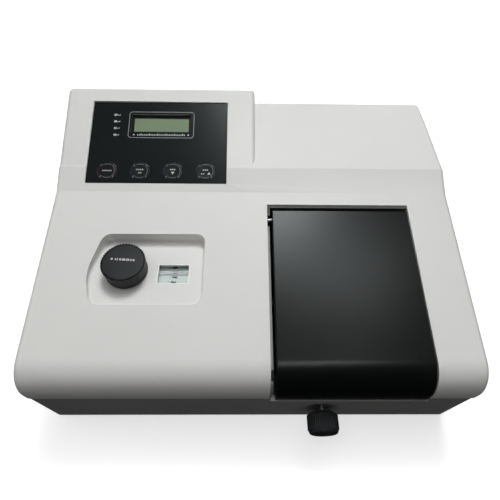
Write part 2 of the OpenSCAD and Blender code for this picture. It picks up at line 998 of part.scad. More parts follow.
// Black knob on the end of the pull rod
module rod_knob() {
  color("black")
    difference() {
      union() {
        rod_y(rod_x, -203.5, -183, rod_z, 16);
        rod_y(rod_x, -206, -203.5, rod_z, 14.5);
        rod_y(rod_x, -200, -196, rod_z, 17);
        rod_y(rod_x, -190, -186, rod_z, 17);
      }
      rod_y(rod_x, -190, -182, rod_z, rod_d / 2);
    }
}

// Bush for the pull rod in the compartment's front wall
module rod_bushing() {
  color("goldenrod")
    difference() {
      union() {
        rod_y(rod_x, box[2] - 3, box[2], rod_z, 8);
        rod_y(rod_x, box[2] - 1, box[2] + 2.5, rod_z, 5);
      }
      rod_y(rod_x, box[2] - 4, box[2] + 4, rod_z, rod_d / 2 + 0.05);
    }
}

// Detector housing on its pedestal
module detector_housing() {
  color("silver")
    difference() {
      union() {
        span(179, 222, -92, -40, 50, 100);
        span(182, 220, -84, -48, base_z, 51);
        rod_x(176.5, 180, beam_y, beam_z, 11);
      }
      span(183, 223, -88, -44, 54, 96);
      rod_x(176, 184, beam_y, beam_z, 7);
    }
}

// Silicon photodiode
module photodiode() {
  color("gold")
    difference() {
      union() {
        rod_x(186, 191, beam_y, beam_z, 6);
        rod_x(190, 191, beam_y, beam_z, 7);
        for (y = [-2.5, 2.5])
          rod_x(190.5, 200, beam_y + y, beam_z, 0.4);
      }
      rod_x(185, 186.6, beam_y, beam_z, 4.5);
    }
}

// Preamplifier board behind the photodiode
module preamp_board() {
  color("darkgreen")
    difference() {
      union() {
        span(200, 201.6, -88, -44, 54, 96);
        span(201.6, 206, -80, -70, 60, 75);
        span(201.6, 205, -62, -50, 78, 90);
      }
      for (y = [-2.5, 2.5])
        rod_x(199, 203, beam_y + y, beam_z, 0.4);
    }
}

// Main board on four posts
module main_board() {
  color("darkgreen")
    difference() {
      union() {
        span(28, 122, 68, 182, 21.5, 23.1);
        span(50, 76, 100, 126, 23.1, 26);
        span(90, 112, 84, 96, 23.1, 30);
        span(36, 44, 140, 170, 23.1, 33);
        for (p = [[100, 120], [100, 140], [84, 160]])
          translate([p[0], p[1], 23.1])
            cylinder(h = 16, r = 6);
      }
      for (x = [34, 116])
        for (y = [74, 176])
          translate([x, y, 20])
            cylinder(h = 5, r = 1.6);
    }
}

// Mains transformer with its core, coil and fixing strap
module transformer() {
  color("saddlebrown") {
    span(150, 210, 100, 126, 16, 68);
    span(156, 204, 86, 140, 24, 60);
    span(142, 218, 102, 124, base_z, 16);
  }
}

// Mains inlet with three blades
module mains_inlet() {
  x = inlet_at[0];
  z = inlet_at[1];
  color([0.1, 0.1, 0.1])
    difference() {
      union() {
        span(x - 25, x + 25, back_y - 1, back_y + 2, z - 14, z + 14);
        span(x - 14, x + 14, back_y - 24, back_y, z - 12, z + 12);
      }
      span(x - 12, x + 12, back_y - 17, back_y + 3, z - 8, z + 8);
      for (s = [-1, 1])
        rod_y(x + s * 20, back_y - 2, back_y + 3, z, 1.7);
    }
  color("silver")
    for (p = [[-7, -2], [0, 2.5], [7, -2]])
      span(x + p[0] - 1, x + p[0] + 1, back_y - 18, back_y - 2, z + p[1] - 2.5, z + p[1] + 2.5);
}

// Bezel of the mains switch with the rocker's axle
module switch_bezel() {
  x = switch_at[0];
  z = switch_at[1];
  color([0.12, 0.12, 0.12]) {
    difference() {
      union() {
        span(x - 10.5, x + 10.5, back_y - 1, back_y + 1, z - 15, z + 15);
        span(x - 8.4, x + 8.4, back_y - 18, back_y - 1, z - 11.4, z + 11.4);
      }
      span(x - 6.6, x + 6.6, back_y - 12, back_y + 2, z - 9.6, z + 9.6);
    }
    rod_x(x - 7, x + 7, back_y - 5, z, 1.5);
  }
}

// Rocker of the mains switch
module rocker_switch() {
  x = switch_at[0];
  z = switch_at[1];
  color("darkred")
    difference() {
      along_x(x - 6.2, x + 6.2)
        translate([back_y - 5, z])
          rotate(8)
            polygon([[-3, -3], [-3, 3], [5, 8.3], [7, 8.3], [5.4, 0], [7, -8.3], [5, -8.3]]);
      rod_x(x - 8, x + 8, back_y - 5, z, 1.55);
    }
}

// Nine-way data port
module data_port() {
  x = port_at[0];
  z = port_at[1];
  color("silver")
    difference() {
      union() {
        span(x - 15.5, x + 15.5, back_y - 1, back_y, z - 6.3, z + 6.3);
        translate([x, back_y - 12, z])
          rotate([-90, 0, 0])
            linear_extrude(16)
              polygon([[-9, -4.2], [9, -4.2], [8, 4.2], [-8, 4.2]]);
      }
      translate([x, back_y - 3, z])
        rotate([-90, 0, 0])
          linear_extrude(10)
            polygon([[-8.2, -3.4], [8.2, -3.4], [7.3, 3.4], [-7.3, 3.4]]);
    }
}

// Cooling fan frame with struts and spindle
module fan_frame() {
  x = fan_at[0];
  z = fan_at[1];
  color([0.12, 0.12, 0.12]) {
    difference() {
      span(x - 30, x + 30, back_y - 18.5, back_y - 3.5, z - 30, z + 30);
      rod_y(x, back_y - 20, back_y - 3, z, 28.4);
      for (dx = [-25, 25])
        for (dz = [-25, 25])
          rod_y(x + dx, back_y - 20, back_y - 3, z + dz, 2);
    }
    rod_y(x, back_y - 6.2, back_y - 3.8, z, 13);
    rod_y(x, back_y - 16, back_y - 5.5, z, 2);
    for (a = [45, 135, 225, 315])
      translate([x, back_y - 5.8, z])
        rotate([0, a, 0])
          translate([10, 0, -1.5])
            cube([19.5, 1.8, 3]);
  }
}

// Fan rotor with seven blades
module fan_rotor() {
  color([0.18, 0.18, 0.18])
    translate([fan_at[0], back_y, fan_at[1]])
      difference() {
        union() {
          rod_y(0, -17.5, -6.8, 0, 13);
          for (i = [0:6])
            rotate([0, i * 360 / 7, 0])
              translate([0, -12, 0])
                rotate([0, 0, 35])
                  translate([-5.5, -0.7, 12])
                    cube([11, 1.4, 14.6]);
        }
        rod_y(0, -19, -5, 0, 2.05);
      }
}

// Guard over the fan opening: four rings on a cross, with four screw tabs
module fan_guard() {
  x = fan_at[0];
  z = fan_at[1];
  color("silver")
    translate([x, back_y - 1, z])
      rotate([-90, 0, 0])
        linear_extrude(1.8)
          difference() {
            union() {
              for (r = [8, 15, 22, 29])
                difference() {
                  circle(r = r);
                  circle(r = r - 1.8);
                }
              for (a = [0, 90])
                rotate(a)
                  translate([-28, -0.9])
                    square([56, 1.8]);
              for (a = [45:90:315])
                rotate(a)
                  translate([28, -3.5])
                    square([10.5, 7]);
            }
            for (dx = [-25, 25])
              for (dy = [-25, 25])
                translate([dx, dy])
                  circle(r = 1.7);
          }
}

case();
base_tray();
feet();
case_screws();
membrane_panel();
key_1();
key_2();
key_3();
key_4();
key_switches();
keypad_board();
lcd_module();
lcd_window();
indicator_lights();
wavelength_knob();
knob_shaft();
shaft_bush();
wavelength_dial();
scale_window();
cursor_line();
pinion();
sector_gear();
grating_table();
grating();
mono_housing();
mono_cover();
collimating_mirror();
focusing_mirror();
mirror_mounts();
entrance_slit();
exit_slit();
desiccant_can();
lamp_house();
tungsten_lamp();
lamp_socket();
condenser_lens();
heat_filter();
sample_box();
lid();
hinge_pins();
seal_strip();
lid_gasket();
carriage_rails();
carriage_slide();
cell_holder();
pull_rod();
rod_knob();
rod_bushing();
detector_housing();
photodiode();
preamp_board();
main_board();
transformer();
mains_inlet();
switch_bezel();
rocker_switch();
data_port();
fan_frame();
fan_rotor();
fan_guard();
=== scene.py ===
import bpy
import bmesh
import math
import json
from mathutils import Matrix, Vector


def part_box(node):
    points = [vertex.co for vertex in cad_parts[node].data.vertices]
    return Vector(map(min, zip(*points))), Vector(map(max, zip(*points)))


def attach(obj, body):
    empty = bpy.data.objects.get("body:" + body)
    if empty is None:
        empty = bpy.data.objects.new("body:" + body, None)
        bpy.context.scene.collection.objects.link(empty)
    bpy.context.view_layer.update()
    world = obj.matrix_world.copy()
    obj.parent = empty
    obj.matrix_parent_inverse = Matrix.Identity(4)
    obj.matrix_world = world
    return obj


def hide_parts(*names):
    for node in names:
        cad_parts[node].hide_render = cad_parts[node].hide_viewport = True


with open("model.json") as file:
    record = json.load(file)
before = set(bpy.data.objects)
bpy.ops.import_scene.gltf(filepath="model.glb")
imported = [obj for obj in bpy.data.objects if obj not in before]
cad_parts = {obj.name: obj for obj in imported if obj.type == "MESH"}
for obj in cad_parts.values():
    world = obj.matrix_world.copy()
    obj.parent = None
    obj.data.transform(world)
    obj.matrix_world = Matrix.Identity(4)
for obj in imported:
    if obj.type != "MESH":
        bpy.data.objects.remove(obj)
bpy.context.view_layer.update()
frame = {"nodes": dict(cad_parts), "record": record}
NODES = frame["nodes"]
RECORD = frame["record"]
SLOT = {s["node"]: s["material_slot"] for s in RECORD["subparts"]}
BODY = {n: b for b, members in RECORD["behaviour"]["bodies"].items() for n in members}
MM = 0.001
WELD_M = 0.000004  # vertices nearer than this are one
SCENE = bpy.context.scene

# ---------------------------------------------------------------- camera and light
CAMERA_AT = (-0.0102, -0.2785, 0.5161)
CAMERA_DOWN, CAMERA_RIGHT, CAMERA_ROLL = 56.34, 1.64, -1.65  # degrees
LENS_MM, SENSOR_MM = 28.8, 36.0
WARM = (1.0, 0.995, 0.98)
COOL = (0.94, 1.0, 1.0)
MIDDLE = (0, 0, 0.1)  # what the soft lights look at
# seen in the glossy faces: name, place, target, size, power
GLOSS_LIGHTS = [
    ("window", (0.12, 0.74, 1.5), (0.05, 0, 0.15), (0.42, 0.36), 5.2),
    ("sky", (0.31, 0.40, 1.6), (0.10, -0.05, 0.15), (0.84, 0.34), 2.35),
    ("crease_light", (0.24, -0.43, 1.45), (0.1, -0.15, 0.12), (0.6, 0.08), 1.4),
]
# light the matt faces only: name, place, size, power
SOFT_LIGHTS = [
    ("key", (0.26, 1.40, 2.8), (0.95, 0.80), 26.2),
    ("overhead", (-0.4, 0.3, 2.8), (2.8, 2.2), 24.6),
    ("left", (-1.6, 0.0, 0.6), (1.1, 0.9), 2.6),
    ("front", (0.1, -1.6, 0.6), (1.4, 0.6), 2.3),
]
# grey of the room from straight below (0) to straight above (1)
ROOM_GREYS = [(0.0, (0.012, 0.012, 0.013, 1)), (0.5, (0.016, 0.017, 0.018, 1)),
              (0.75, (0.03, 0.031, 0.032, 1)), (1.0, (0.06, 0.062, 0.063, 1))]


def make_camera():
    data = bpy.data.cameras.new("camera")
    data.sensor_width = SENSOR_MM
    data.lens = LENS_MM
    cam = bpy.data.objects.new("camera", data)
    SCENE.collection.objects.link(cam)
    turn = (Matrix.Rotation(math.radians(-CAMERA_RIGHT), 4, "Z")
            @ Matrix.Rotation(math.radians(90 - CAMERA_DOWN), 4, "X")
            @ Matrix.Rotation(math.radians(-CAMERA_ROLL), 4, "Z"))
    cam.matrix_world = Matrix.Translation(CAMERA_AT) @ turn
    SCENE.camera = cam


def area_light(name, place, target, size, power, colour):
    data = bpy.data.lights.new(name, "AREA")
    data.shape = "RECTANGLE"
    data.size, data.size_y = size
    data.energy = power
    data.color = colour
    lamp = bpy.data.objects.new(name, data)
    SCENE.collection.objects.link(lamp)
    lamp.location = place
    lamp.rotation_mode = "QUATERNION"
    lamp.rotation_quaternion = (Vector(target) - Vector(place)).to_track_quat("-Z", "Y")
    return lamp


def make_lights():
    for name, place, target, size, power in GLOSS_LIGHTS:
        lamp = area_light(name, place, target, size, power, COOL)
        lamp.visible_diffuse = name != "crease_light"
    for name, place, size, power in SOFT_LIGHTS:
        area_light(name, place, MIDDLE, size, power, WARM).visible_glossy = False


def make_world():
    """A dim room, a little lighter above than below."""
    world = bpy.data.worlds.new("studio")
    SCENE.world = world
    world.use_nodes = True
    nt = world.node_tree
    coord = nt.nodes.new("ShaderNodeTexCoord")
    split = nt.nodes.new("ShaderNodeSeparateXYZ")
    ramp = nt.nodes.new("ShaderNodeValToRGB")
    nt.links.new(coord.outputs["Generated"], split.inputs[0])
    shift = nt.nodes.new("ShaderNodeMapRange")
    shift.inputs["From Min"].default_value = -1.0
    nt.links.new(split.outputs["Z"], shift.inputs["Value"])
    nt.links.new(shift.outputs[0], ramp.inputs[0])
    stops = ramp.color_ramp.elements
    for stop, (place, colour) in zip(stops, (ROOM_GREYS[0], ROOM_GREYS[-1])):
        stop.position = place
        stop.color = colour
    for place, colour in ROOM_GREYS[1:-1]:
        stops.new(place).color = colour
    nt.links.new(ramp.outputs[0], nt.nodes["Background"].inputs["Color"])
    nt.nodes["Background"].inputs["Strength"].default_value = 1.0


make_camera()
make_world()
make_lights()
SCENE.view_settings.view_transform = "Standard"
SCENE.view_settings.look = "None"


# ---------------------------------------------------------------- materials
class Shade:
    """A Principled material whose colour, roughness and relief come from textures."""

    def __init__(self, name, base, rough, metal=0.0):
        self.mat = bpy.data.materials.new(name)
        self.mat.use_nodes = True
        self.nt = self.mat.node_tree
        self.bsdf = self.nt.nodes["Principled BSDF"]
        self.bsdf.inputs["Base Color"].default_value = (*base, 1)
        self.bsdf.inputs["Roughness"].default_value = rough
        self.bsdf.inputs["Metallic"].default_value = metal
        self.base, self.rough = base, rough
        self.coord = self.nt.nodes.new("ShaderNodeTexCoord")
        self.last_bump = None

    def texture(self, kind, scale, where=None):
        """A texture node on the object's own coordinates, or on the given ones."""
        node = self.nt.nodes.new(kind)
        node.inputs["Scale"].default_value = scale
        self.nt.links.new(where or self.coord.outputs["Object"], node.inputs["Vector"])
        return node

    def place(self, stretch=(1, 1, 1), turn=(0, 0, 0)):
        node = self.nt.nodes.new("ShaderNodeMapping")
        node.inputs["Scale"].default_value = stretch
        node.inputs["Rotation"].default_value = turn
        self.nt.links.new(self.coord.outputs["Object"], node.inputs[0])
        return node.outputs[0]

    def noise(self, scale, detail=3.0, where=None, rough=0.55):
        node = self.texture("ShaderNodeTexNoise", scale, where)
        node.inputs["Detail"].default_value = detail
        node.inputs["Roughness"].default_value = rough
        return node.outputs["Fac"]

    def cells(self, scale):
        return self.texture("ShaderNodeTexVoronoi", scale).outputs["Distance"]

    def wave(self, scale, where, distortion):
        node = self.texture("ShaderNodeTexWave", scale, where)
        node.inputs["Distortion"].default_value = distortion
        return node.outputs["Fac"]

    def remap(self, value, low, high, start=0.3, end=0.7):
        node = self.nt.nodes.new("ShaderNodeMapRange")
        node.inputs["From Min"].default_value = start
        node.inputs["From Max"].default_value = end
        node.inputs["To Min"].default_value = low
        node.inputs["To Max"].default_value = high
        self.nt.links.new(value, node.inputs["Value"])
        return node.outputs[0]

    def tint(self, value, other, start=0.35, end=0.65):
        """Mixes the colour so far towards another one where the texture is high."""
        mix = self.nt.nodes.new("ShaderNodeMix")
        mix.data_type = "RGBA"
        self.nt.links.new(self.remap(value, 0.0, 1.0, start, end), mix.inputs[0])
        now = self.bsdf.inputs["Base Color"]
        if now.is_linked:
            self.nt.links.new(now.links[0].from_socket, mix.inputs[6])
        else:
            mix.inputs[6].default_value = (*self.base, 1)
        mix.inputs[7].default_value = (*other, 1)
        self.nt.links.new(mix.outputs[2], now)
        return self

    def gloss(self, value, spread):
        low, high = max(0.02, self.rough - spread), min(1.0, self.rough + spread)
        self.nt.links.new(self.remap(value, low, high), self.bsdf.inputs["Roughness"])
        return self

    def relief(self, value, height_mm):
        """Adds a bump over the ones so far."""
        node = self.nt.nodes.new("ShaderNodeBump")
        node.inputs["Strength"].default_value = 1.0
        node.inputs["Distance"].default_value = height_mm * MM
        self.nt.links.new(value, node.inputs["Height"])
        if self.last_bump is not None:
            self.nt.links.new(self.last_bump, node.inputs["Normal"])
        self.last_bump = node.outputs[0]
        self.nt.links.new(self.last_bump, self.bsdf.inputs["Normal"])
        return self

    def set(self, **values):
        """Sets inputs of the shader; an underscore stands for a space."""
        for key, value in values.items():
            self.bsdf.inputs[key.replace("_", " ")].default_value = value
        return self


def moulded(name, base, rough, grain_mm=0.5, height_mm=0.012, fade=0.93):
    """Moulded plastic with a fine spark-eroded grain and faint flow marks."""
    s = Shade(name, base, rough)
    s.tint(s.noise(14, 4), tuple(c * fade for c in base))
    s.gloss(s.noise(90, 4), 0.05)
    s.relief(s.noise(1000 / grain_mm, 2), height_mm)
    return s


def coated(name, base, rough, peel_mm=1.6, height_mm=0.03, spread=0.06, fine_mm=0.006, fade=1.25):
    """Powder coat or lacquer with orange peel and a fine grain over it."""
    s = Shade(name, base, rough)
    s.tint(s.noise(20, 4), tuple(c * fade + 0.001 for c in base))
    s.gloss(s.noise(150, 3), spread)
    s.relief(s.noise(1000 / peel_mm, 1, rough=0.3), height_mm)
    s.relief(s.noise(4200, 2), fine_mm)
    return s


def machined(name, base, rough, along="X", mark_mm=0.35, height_mm=0.006, metal=1.0):
    """Cut or ground metal with fine marks that run along one axis."""
    s = Shade(name, base, rough, metal)
    stretch = {"X": (0.04, 1, 1), "Y": (1, 0.04, 1), "Z": (1, 1, 0.04)}[along]
    where = s.place(stretch)
    s.tint(s.noise(1000 / mark_mm, 3, where), tuple(c * 0.8 for c in base))
    s.tint(s.noise(35, 4), tuple(c * 0.88 for c in base))
    s.gloss(s.noise(600, 3, where), 0.08)
    s.relief(s.noise(1000 / mark_mm, 2, where), height_mm)
    return s


def anodised(name, base, rough):
    s = Shade(name, base, rough, 0.25)
    s.tint(s.noise(60, 4), tuple(c * 1.5 + 0.004 for c in base))
    s.gloss(s.noise(200, 3), 0.07)
    s.relief(s.noise(3000, 2), 0.01)
    return s


def film(name, base, rough):
    """Printed polyester film with a velvet face."""
    s = Shade(name, base, rough)
    s.tint(s.noise(9, 3), tuple(c * 1.12 + 0.0002 for c in base))
    s.gloss(s.noise(50, 4), 0.01)
    s.relief(s.noise(2600, 2), 0.004)
    s.relief(s.noise(12, 1), 0.006)
    return s


def ink(name, base):
    """Screen-printed ink, thinner in places."""
    s = Shade(name, base, 0.5)
    s.tint(s.noise(900, 3), tuple(c * 0.72 for c in base), 0.45, 0.75)
    s.relief(s.noise(3000, 2), 0.003)
    return s


def clear(name, base, alpha, rough=0.03):
    """Glass or clear plastic that is not quite flat."""
    s = Shade(name, base, rough)
    s.gloss(s.noise(40, 3), 0.015)
    s.relief(s.noise(30, 2), 0.01)
    return s.set(Alpha=alpha, IOR=1.5)


def board(name, base):
    """Solder mask over copper tracks."""
    s = Shade(name, base, 0.35)
    where = s.place(turn=(0, 0, math.radians(45)))
    over_copper = (base[0] * 2.2, base[1] * 1.5, base[2] * 1.8)
    s.tint(s.wave(260, where, 6.0), over_copper, 0.45, 0.55)
    s.tint(s.cells(380), tuple(c * 0.6 for c in base), 0.1, 0.3)
    s.gloss(s.noise(300, 3), 0.08)
    s.relief(s.wave(260, where, 6.0), 0.03)
    return s


M = {
    "off_white_case": moulded("case_plastic", (0.795, 0.785, 0.77), 0.5, 0.45, 0.010, 0.985),
    "dark_grey_base": coated("base_coat", (0.34, 0.34, 0.338), 0.5, 1.6, 0.03, 0.04, 0.006, 1.05),
    "foot_rubber": moulded("foot_rubber", (0.02, 0.02, 0.02), 0.8, 0.3, 0.03, 1.6),
    "screw_steel": machined("screw_steel", (0.55, 0.55, 0.55), 0.32, "Z"),
    "overlay_black": film("overlay_film", (0.0092, 0.0118, 0.0125), 0.26),
    "key_black": film("key_film", (0.009, 0.011, 0.0125), 0.32),
    "switch_grey": moulded("switch_plastic", (0.08, 0.08, 0.085), 0.5),
    "board_green": board("solder_mask", (0.012, 0.07, 0.03)),
    "lcd_green": film("lcd_glass", (0.25, 0.33, 0.198), 0.3),
    "clear_pane": clear("clear_pane", (0.1, 0.11, 0.11), 0.05),
    "lamp_mark": ink("lamp_ink", (0.55, 0.56, 0.55)),
    "knob_black": moulded("knob_plastic", (0.022, 0.024, 0.026), 0.42, 0.35, 0.012, 1.3),
    "shaft_steel": machined("shaft_steel", (0.6, 0.6, 0.61), 0.25, "Y"),
    "gear_brass": machined("gear_brass", (0.72, 0.5, 0.2), 0.3, "Z"),
    "dial_white": coated("dial_enamel", (0.62, 0.70, 0.69), 0.4, 1.0, 0.008),
    "white_line": ink("white_line", (0.85, 0.86, 0.86)),
    "black_alloy": anodised("black_alloy", (0.045, 0.045, 0.05), 0.5),
    "optic_mirror": machined("mirror_coat", (0.9, 0.91, 0.93), 0.04, "Z", 0.8, 0.0005),
    "optic_glass": clear("optic_glass", (0.75, 0.85, 0.83), 0.35, 0.05),
    "desiccant_steel": machined("tin_plate", (0.55, 0.57, 0.6), 0.35, "Z"),
    "sheet_alloy": machined("sheet_alloy", (0.6, 0.61, 0.62), 0.38, "X"),
    "lamp_glass": clear("lamp_glass", (0.95, 0.9, 0.8), 0.3, 0.04),
    "ceramic": moulded("ceramic", (0.75, 0.72, 0.64), 0.75, 0.8, 0.02, 0.9),
    "box_black": coated("box_coat", (0.032, 0.032, 0.034), 0.6, 0.9, 0.02),
    "lid_black": coated("lid_coat", (0.0012, 0.0018, 0.0018), 0.29, 0.9, 0.002, 0.008, 0.0008),
    "strip_grey": moulded("strip_plastic", (0.085, 0.085, 0.085), 0.5),
    "foam": moulded("gasket_foam", (0.02, 0.02, 0.021), 0.9, 0.9, 0.12, 1.7),
    "cast_grey": coated("cast_alloy", (0.35, 0.355, 0.36), 0.5, 0.8, 0.05),
    "gold_can": machined("gold_can", (0.75, 0.55, 0.25), 0.25, "X"),
    "core_iron": machined("core_iron", (0.10, 0.06, 0.04), 0.5, "Y", 0.5, 0.05, 0.3),
    "socket_black": moulded("socket_plastic", (0.015, 0.015, 0.015), 0.35),
    "rocker_red": moulded("rocker_plastic", (0.3, 0.012, 0.012), 0.3),
    "port_steel": machined("port_shell", (0.62, 0.62, 0.62), 0.28, "Z"),
    "fan_black": moulded("fan_plastic", (0.018, 0.018, 0.018), 0.4),
    "guard_steel": machined("guard_wire", (0.7, 0.7, 0.7), 0.2, "X"),
}
M["off_white_case"].set(Specular_IOR_Level=0.35)
M["cast_grey"].set(Metallic=0.7)
for slot in ("overlay_black", "key_black", "lcd_green"):
    M[slot].set(Specular_IOR_Level=0.3)


# ---------------------------------------------------------------- places and outlines, in mm
def low(node):
    return [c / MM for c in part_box(node)[0]]


def high(node):
    return [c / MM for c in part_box(node)[1]]


def centre(node):
    return [(a + b) / 2 for a, b in zip(low(node), high(node))]


def turned(angle, axis):
    return Matrix.Rotation(math.radians(angle), 4, axis)


def upright(x=0.0, y=0.0, z=0.0, turn=None):
    """Local frame in mm whose origin is at a point in mm."""
    here = Matrix.Translation((x * MM, y * MM, z * MM))
    return here @ (turn or Matrix.Identity(4)) @ Matrix.Scale(MM, 4)


def facing(x, y, z, angle):
    """Local frame turned about X: 90 looks to the front, -90 to the back."""
    return upright(x, y, z, turned(angle, "X"))


class Plane:
    """The largest flat top of a CAD node: u to the right, v up the slope, n out of it."""

    def __init__(self, node):
        mesh = NODES[node].data
        top = max((p for p in mesh.polygons if p.normal.z > 0.8), key=lambda p: p.area)
        self.n = top.normal.copy()
        self.u = Vector((1, 0, 0))
        self.v = self.n.cross(self.u)
        reach = [v.co.dot(self.v) for v in mesh.vertices]
        left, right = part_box(node)[0][0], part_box(node)[1][0]
        self.size = ((right - left) / MM, (max(reach) - min(reach)) / MM)
        self.origin = self.u * left + self.v * min(reach) + self.n * top.center.dot(self.n)

    def frame(self, u=0.0, v=0.0):
        turn = Matrix((self.u, self.v, self.n)).transposed().to_4x4()
        corner = self.origin + (self.u * u + self.v * v) * MM
        return Matrix.Translation(corner) @ turn @ Matrix.Scale(MM, 4)


def circle(r, steps=48, at=(0, 0)):
    return [(at[0] + r * math.cos(math.tau * i / steps), at[1] + r * math.sin(math.tau * i / steps))
            for i in range(steps)]


def rounded(x0, x1, y0, y1, r, steps=5):
    """Rectangle with rounded corners, counter-clockwise."""
    points = []
    for cx, cy, a in [(x1 - r, y1 - r, 0), (x0 + r, y1 - r, 90), (x0 + r, y0 + r, 180),
                      (x1 - r, y0 + r, 270)]:
        for i in range(steps + 1):
            angle = math.radians(a + 90 * i / steps)
            points.append((cx + r * math.cos(angle), cy + r * math.sin(angle)))
    return points


def ridged(r, depth, z, ridges, per_ridge, power):
    """Ring of points with a hollow for every ridge; the power makes the hollows narrow."""
    steps = ridges * per_ridge
    points = []
    for i in range(steps):
        a = math.tau * i / steps
        d = r - depth * (0.5 + 0.5 * math.cos(ridges * a)) ** power
        points.append((d * math.cos(a), d * math.sin(a), z))
    return points


def at_height(outline, z):
    return [(x, y, z) for x, y in outline]


# ---------------------------------------------------------------- meshes
REPLACED = set()  # CAD nodes that a piece stands for
SHARP_DEG = 35  # edges steeper than this are shaded sharp
NEVER = 360  # an angle that no edge reaches, in degrees


def shade_smooth(bm, sharp):
    """Smooth faces; an edge steeper than sharp, in degrees, stays sharp."""
    for e in bm.edges:
        e.smooth = len(e.link_faces) != 2 or e.calc_face_angle(0) < math.radians(sharp)
    for f in bm.faces:
        f.smooth = True


def mesh_object(name, bm, look):
    """New object from a bmesh, which is used up."""
    mesh = bpy.data.meshes.new(name)
    bm.to_mesh(mesh)
    bm.free()
    o = bpy.data.objects.new(name, mesh)
    SCENE.collection.objects.link(o)
    mesh.materials.append(look.mat)
    return o


def round_edges(o, width_mm, angle):
    bevel = o.modifiers.new("edges", "BEVEL")
    bevel.width = width_mm * MM
    bevel.segments = 2
    bevel.limit_method = "ANGLE"
    bevel.angle_limit = math.radians(angle)


def even_shading(o):
    even = o.modifiers.new("shading", "WEIGHTED_NORMAL")
    even.keep_sharp = True


class Solid:
    """Shapes gathered in one mesh. Their points are in mm in a local frame."""

    def __init__(self, where=None):
        self.bm = bmesh.new()
        self.where = where or upright()

    def loft(self, rings, closed=False):
        """Skin from ring to ring; its ends are capped, or joined to each other if closed."""
        rows = [[self.bm.verts.new(self.where @ Vector(p)) for p in ring] for ring in rings]
        n = len(rows[0])
        for a, b in zip(rows, rows[1:] + ([rows[0]] if closed else [])):
            for i in range(n):
                j = (i + 1) % n
                self.bm.faces.new((a[i], a[j], b[j], b[i]))
        if not closed:
            self.bm.faces.new(list(reversed(rows[0])))
            self.bm.faces.new(rows[-1])
        return self

    def prism(self, outline, z0, z1):
        return self.loft([at_height(outline, z0), at_height(outline, z1)])

    def block(self, x0, x1, y0, y1, z0, z1):
        return self.prism([(x0, y0), (x1, y0), (x1, y1), (x0, y1)], z0, z1)

    def band(self, outer, inner, z0, z1):
        """A frame between two outlines with the same number of points."""
        return self.loft([at_height(outer, z0), at_height(outer, z1),
                          at_height(inner, z1), at_height(inner, z0)], closed=True)

    def lathe(self, profile, at=(0, 0), steps=48):
        """Turned shape; the profile is a list of (radius, height) from end to end."""
        return self.loft([at_height(circle(r, steps, at), z) for r, z in profile])

    def ring(self, profile, at=(0, 0), steps=48):
        """Turned ring; the profile is a closed section."""
        return self.loft([at_height(circle(r, steps, at), z) for r, z in profile], closed=True)

    def washer(self, r0, r1, z0, z1, at=(0, 0), steps=48):
        return self.ring([(r0, z0), (r1, z0), (r1, z1), (r0, z1)], at, steps)

    def arc(self, r0, r1, a0, a1, z0, z1):
        """Part of a flat ring, from one angle to another in degrees."""
        steps = max(2, int(abs(a1 - a0) / 5))
        sweep = [math.radians(a0 + (a1 - a0) * i / steps) for i in range(steps + 1)]
        outline = [(r1 * math.cos(a), r1 * math.sin(a)) for a in sweep]
        outline += [(r0 * math.cos(a), r0 * math.sin(a)) for a in reversed(sweep)]
        return self.prism(outline, z0, z1)

    def bar(self, x, y, length, width, angle, z0, z1):
        """Straight bar about its middle, turned by an angle in degrees."""
        c, s = math.cos(math.radians(angle)), math.sin(math.radians(angle))
        outline = [(x + c * a - s * b, y + s * a + c * b)
                   for a, b in [(-length / 2, -width / 2), (length / 2, -width / 2),
                                (length / 2, width / 2), (-length / 2, width / 2)]]
        return self.prism(outline, z0, z1)

    def tube(self, path, r, closed=False, steps=10):
        """Round wire along a path of points."""
        path = [Vector(p) for p in path]
        rings = []
        side = None
        for i, p in enumerate(path):
            before = path[i - 1] if i or closed else p
            after = path[(i + 1) % len(path)] if i < len(path) - 1 or closed else p
            along = (after - before).normalized()
            if side is None:
                side = along.orthogonal().normalized()
            side = (side - along * side.dot(along)).normalized()
            up = along.cross(side)
            rings.append([p + r * (side * math.cos(math.tau * k / steps)
                                   + up * math.sin(math.tau * k / steps)) for k in range(steps)])
        return self.loft(rings, closed=closed)

    def words(self, text, size, x, y, turn, height, bold):
        """Numerals as solid shapes that stand on the local floor."""
        curve = bpy.data.curves.new("numeral", "FONT")
        curve.body = text
        curve.size = size
        curve.extrude = height / 2
        curve.offset = bold
        curve.resolution_u = 2
        curve.align_x = "CENTER"
        curve.align_y = "CENTER"
        maker = bpy.data.objects.new("numeral", curve)
        SCENE.collection.objects.link(maker)
        bpy.context.view_layer.update()
        mesh = bpy.data.meshes.new_from_object(maker)
        mesh.transform(self.where @ Matrix.Translation((x, y, height / 2)) @ turned(turn, "Z"))
        self.bm.from_mesh(mesh)
        bpy.data.objects.remove(maker)
        bpy.data.meshes.remove(mesh)
        return self

    def done(self, name, slot, body, nodes=(), round_mm=0.0, look=None, sharp=SHARP_DEG):
        """Makes the piece, which rides on a body and may replace CAD nodes."""
        bmesh.ops.recalc_face_normals(self.bm, faces=self.bm.faces)
        shade_smooth(self.bm, NEVER if round_mm else sharp)
        o = mesh_object(name, self.bm, look or M[slot])
        if round_mm:
            round_edges(o, round_mm, sharp)
        even_shading(o)
        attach(o, body)
        if nodes:
            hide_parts(*nodes)
            REPLACED.update(nodes)
        return o


# ---------------------------------------------------------------- meshes made from CAD nodes
FLAT_DEG = 0.4  # faces that differ by less than this are one face
EDGE_DEG = 28  # edges of a remade node that are steeper than this are rounded
DRESS_MM, DRESS_DEG = 0.3, 32  # the same for a node that keeps its CAD mesh


def welded(node):
    bm = bmesh.new()
    bm.from_mesh(NODES[node].data)
    bmesh.ops.remove_doubles(bm, verts=bm.verts, dist=WELD_M)
    return bm


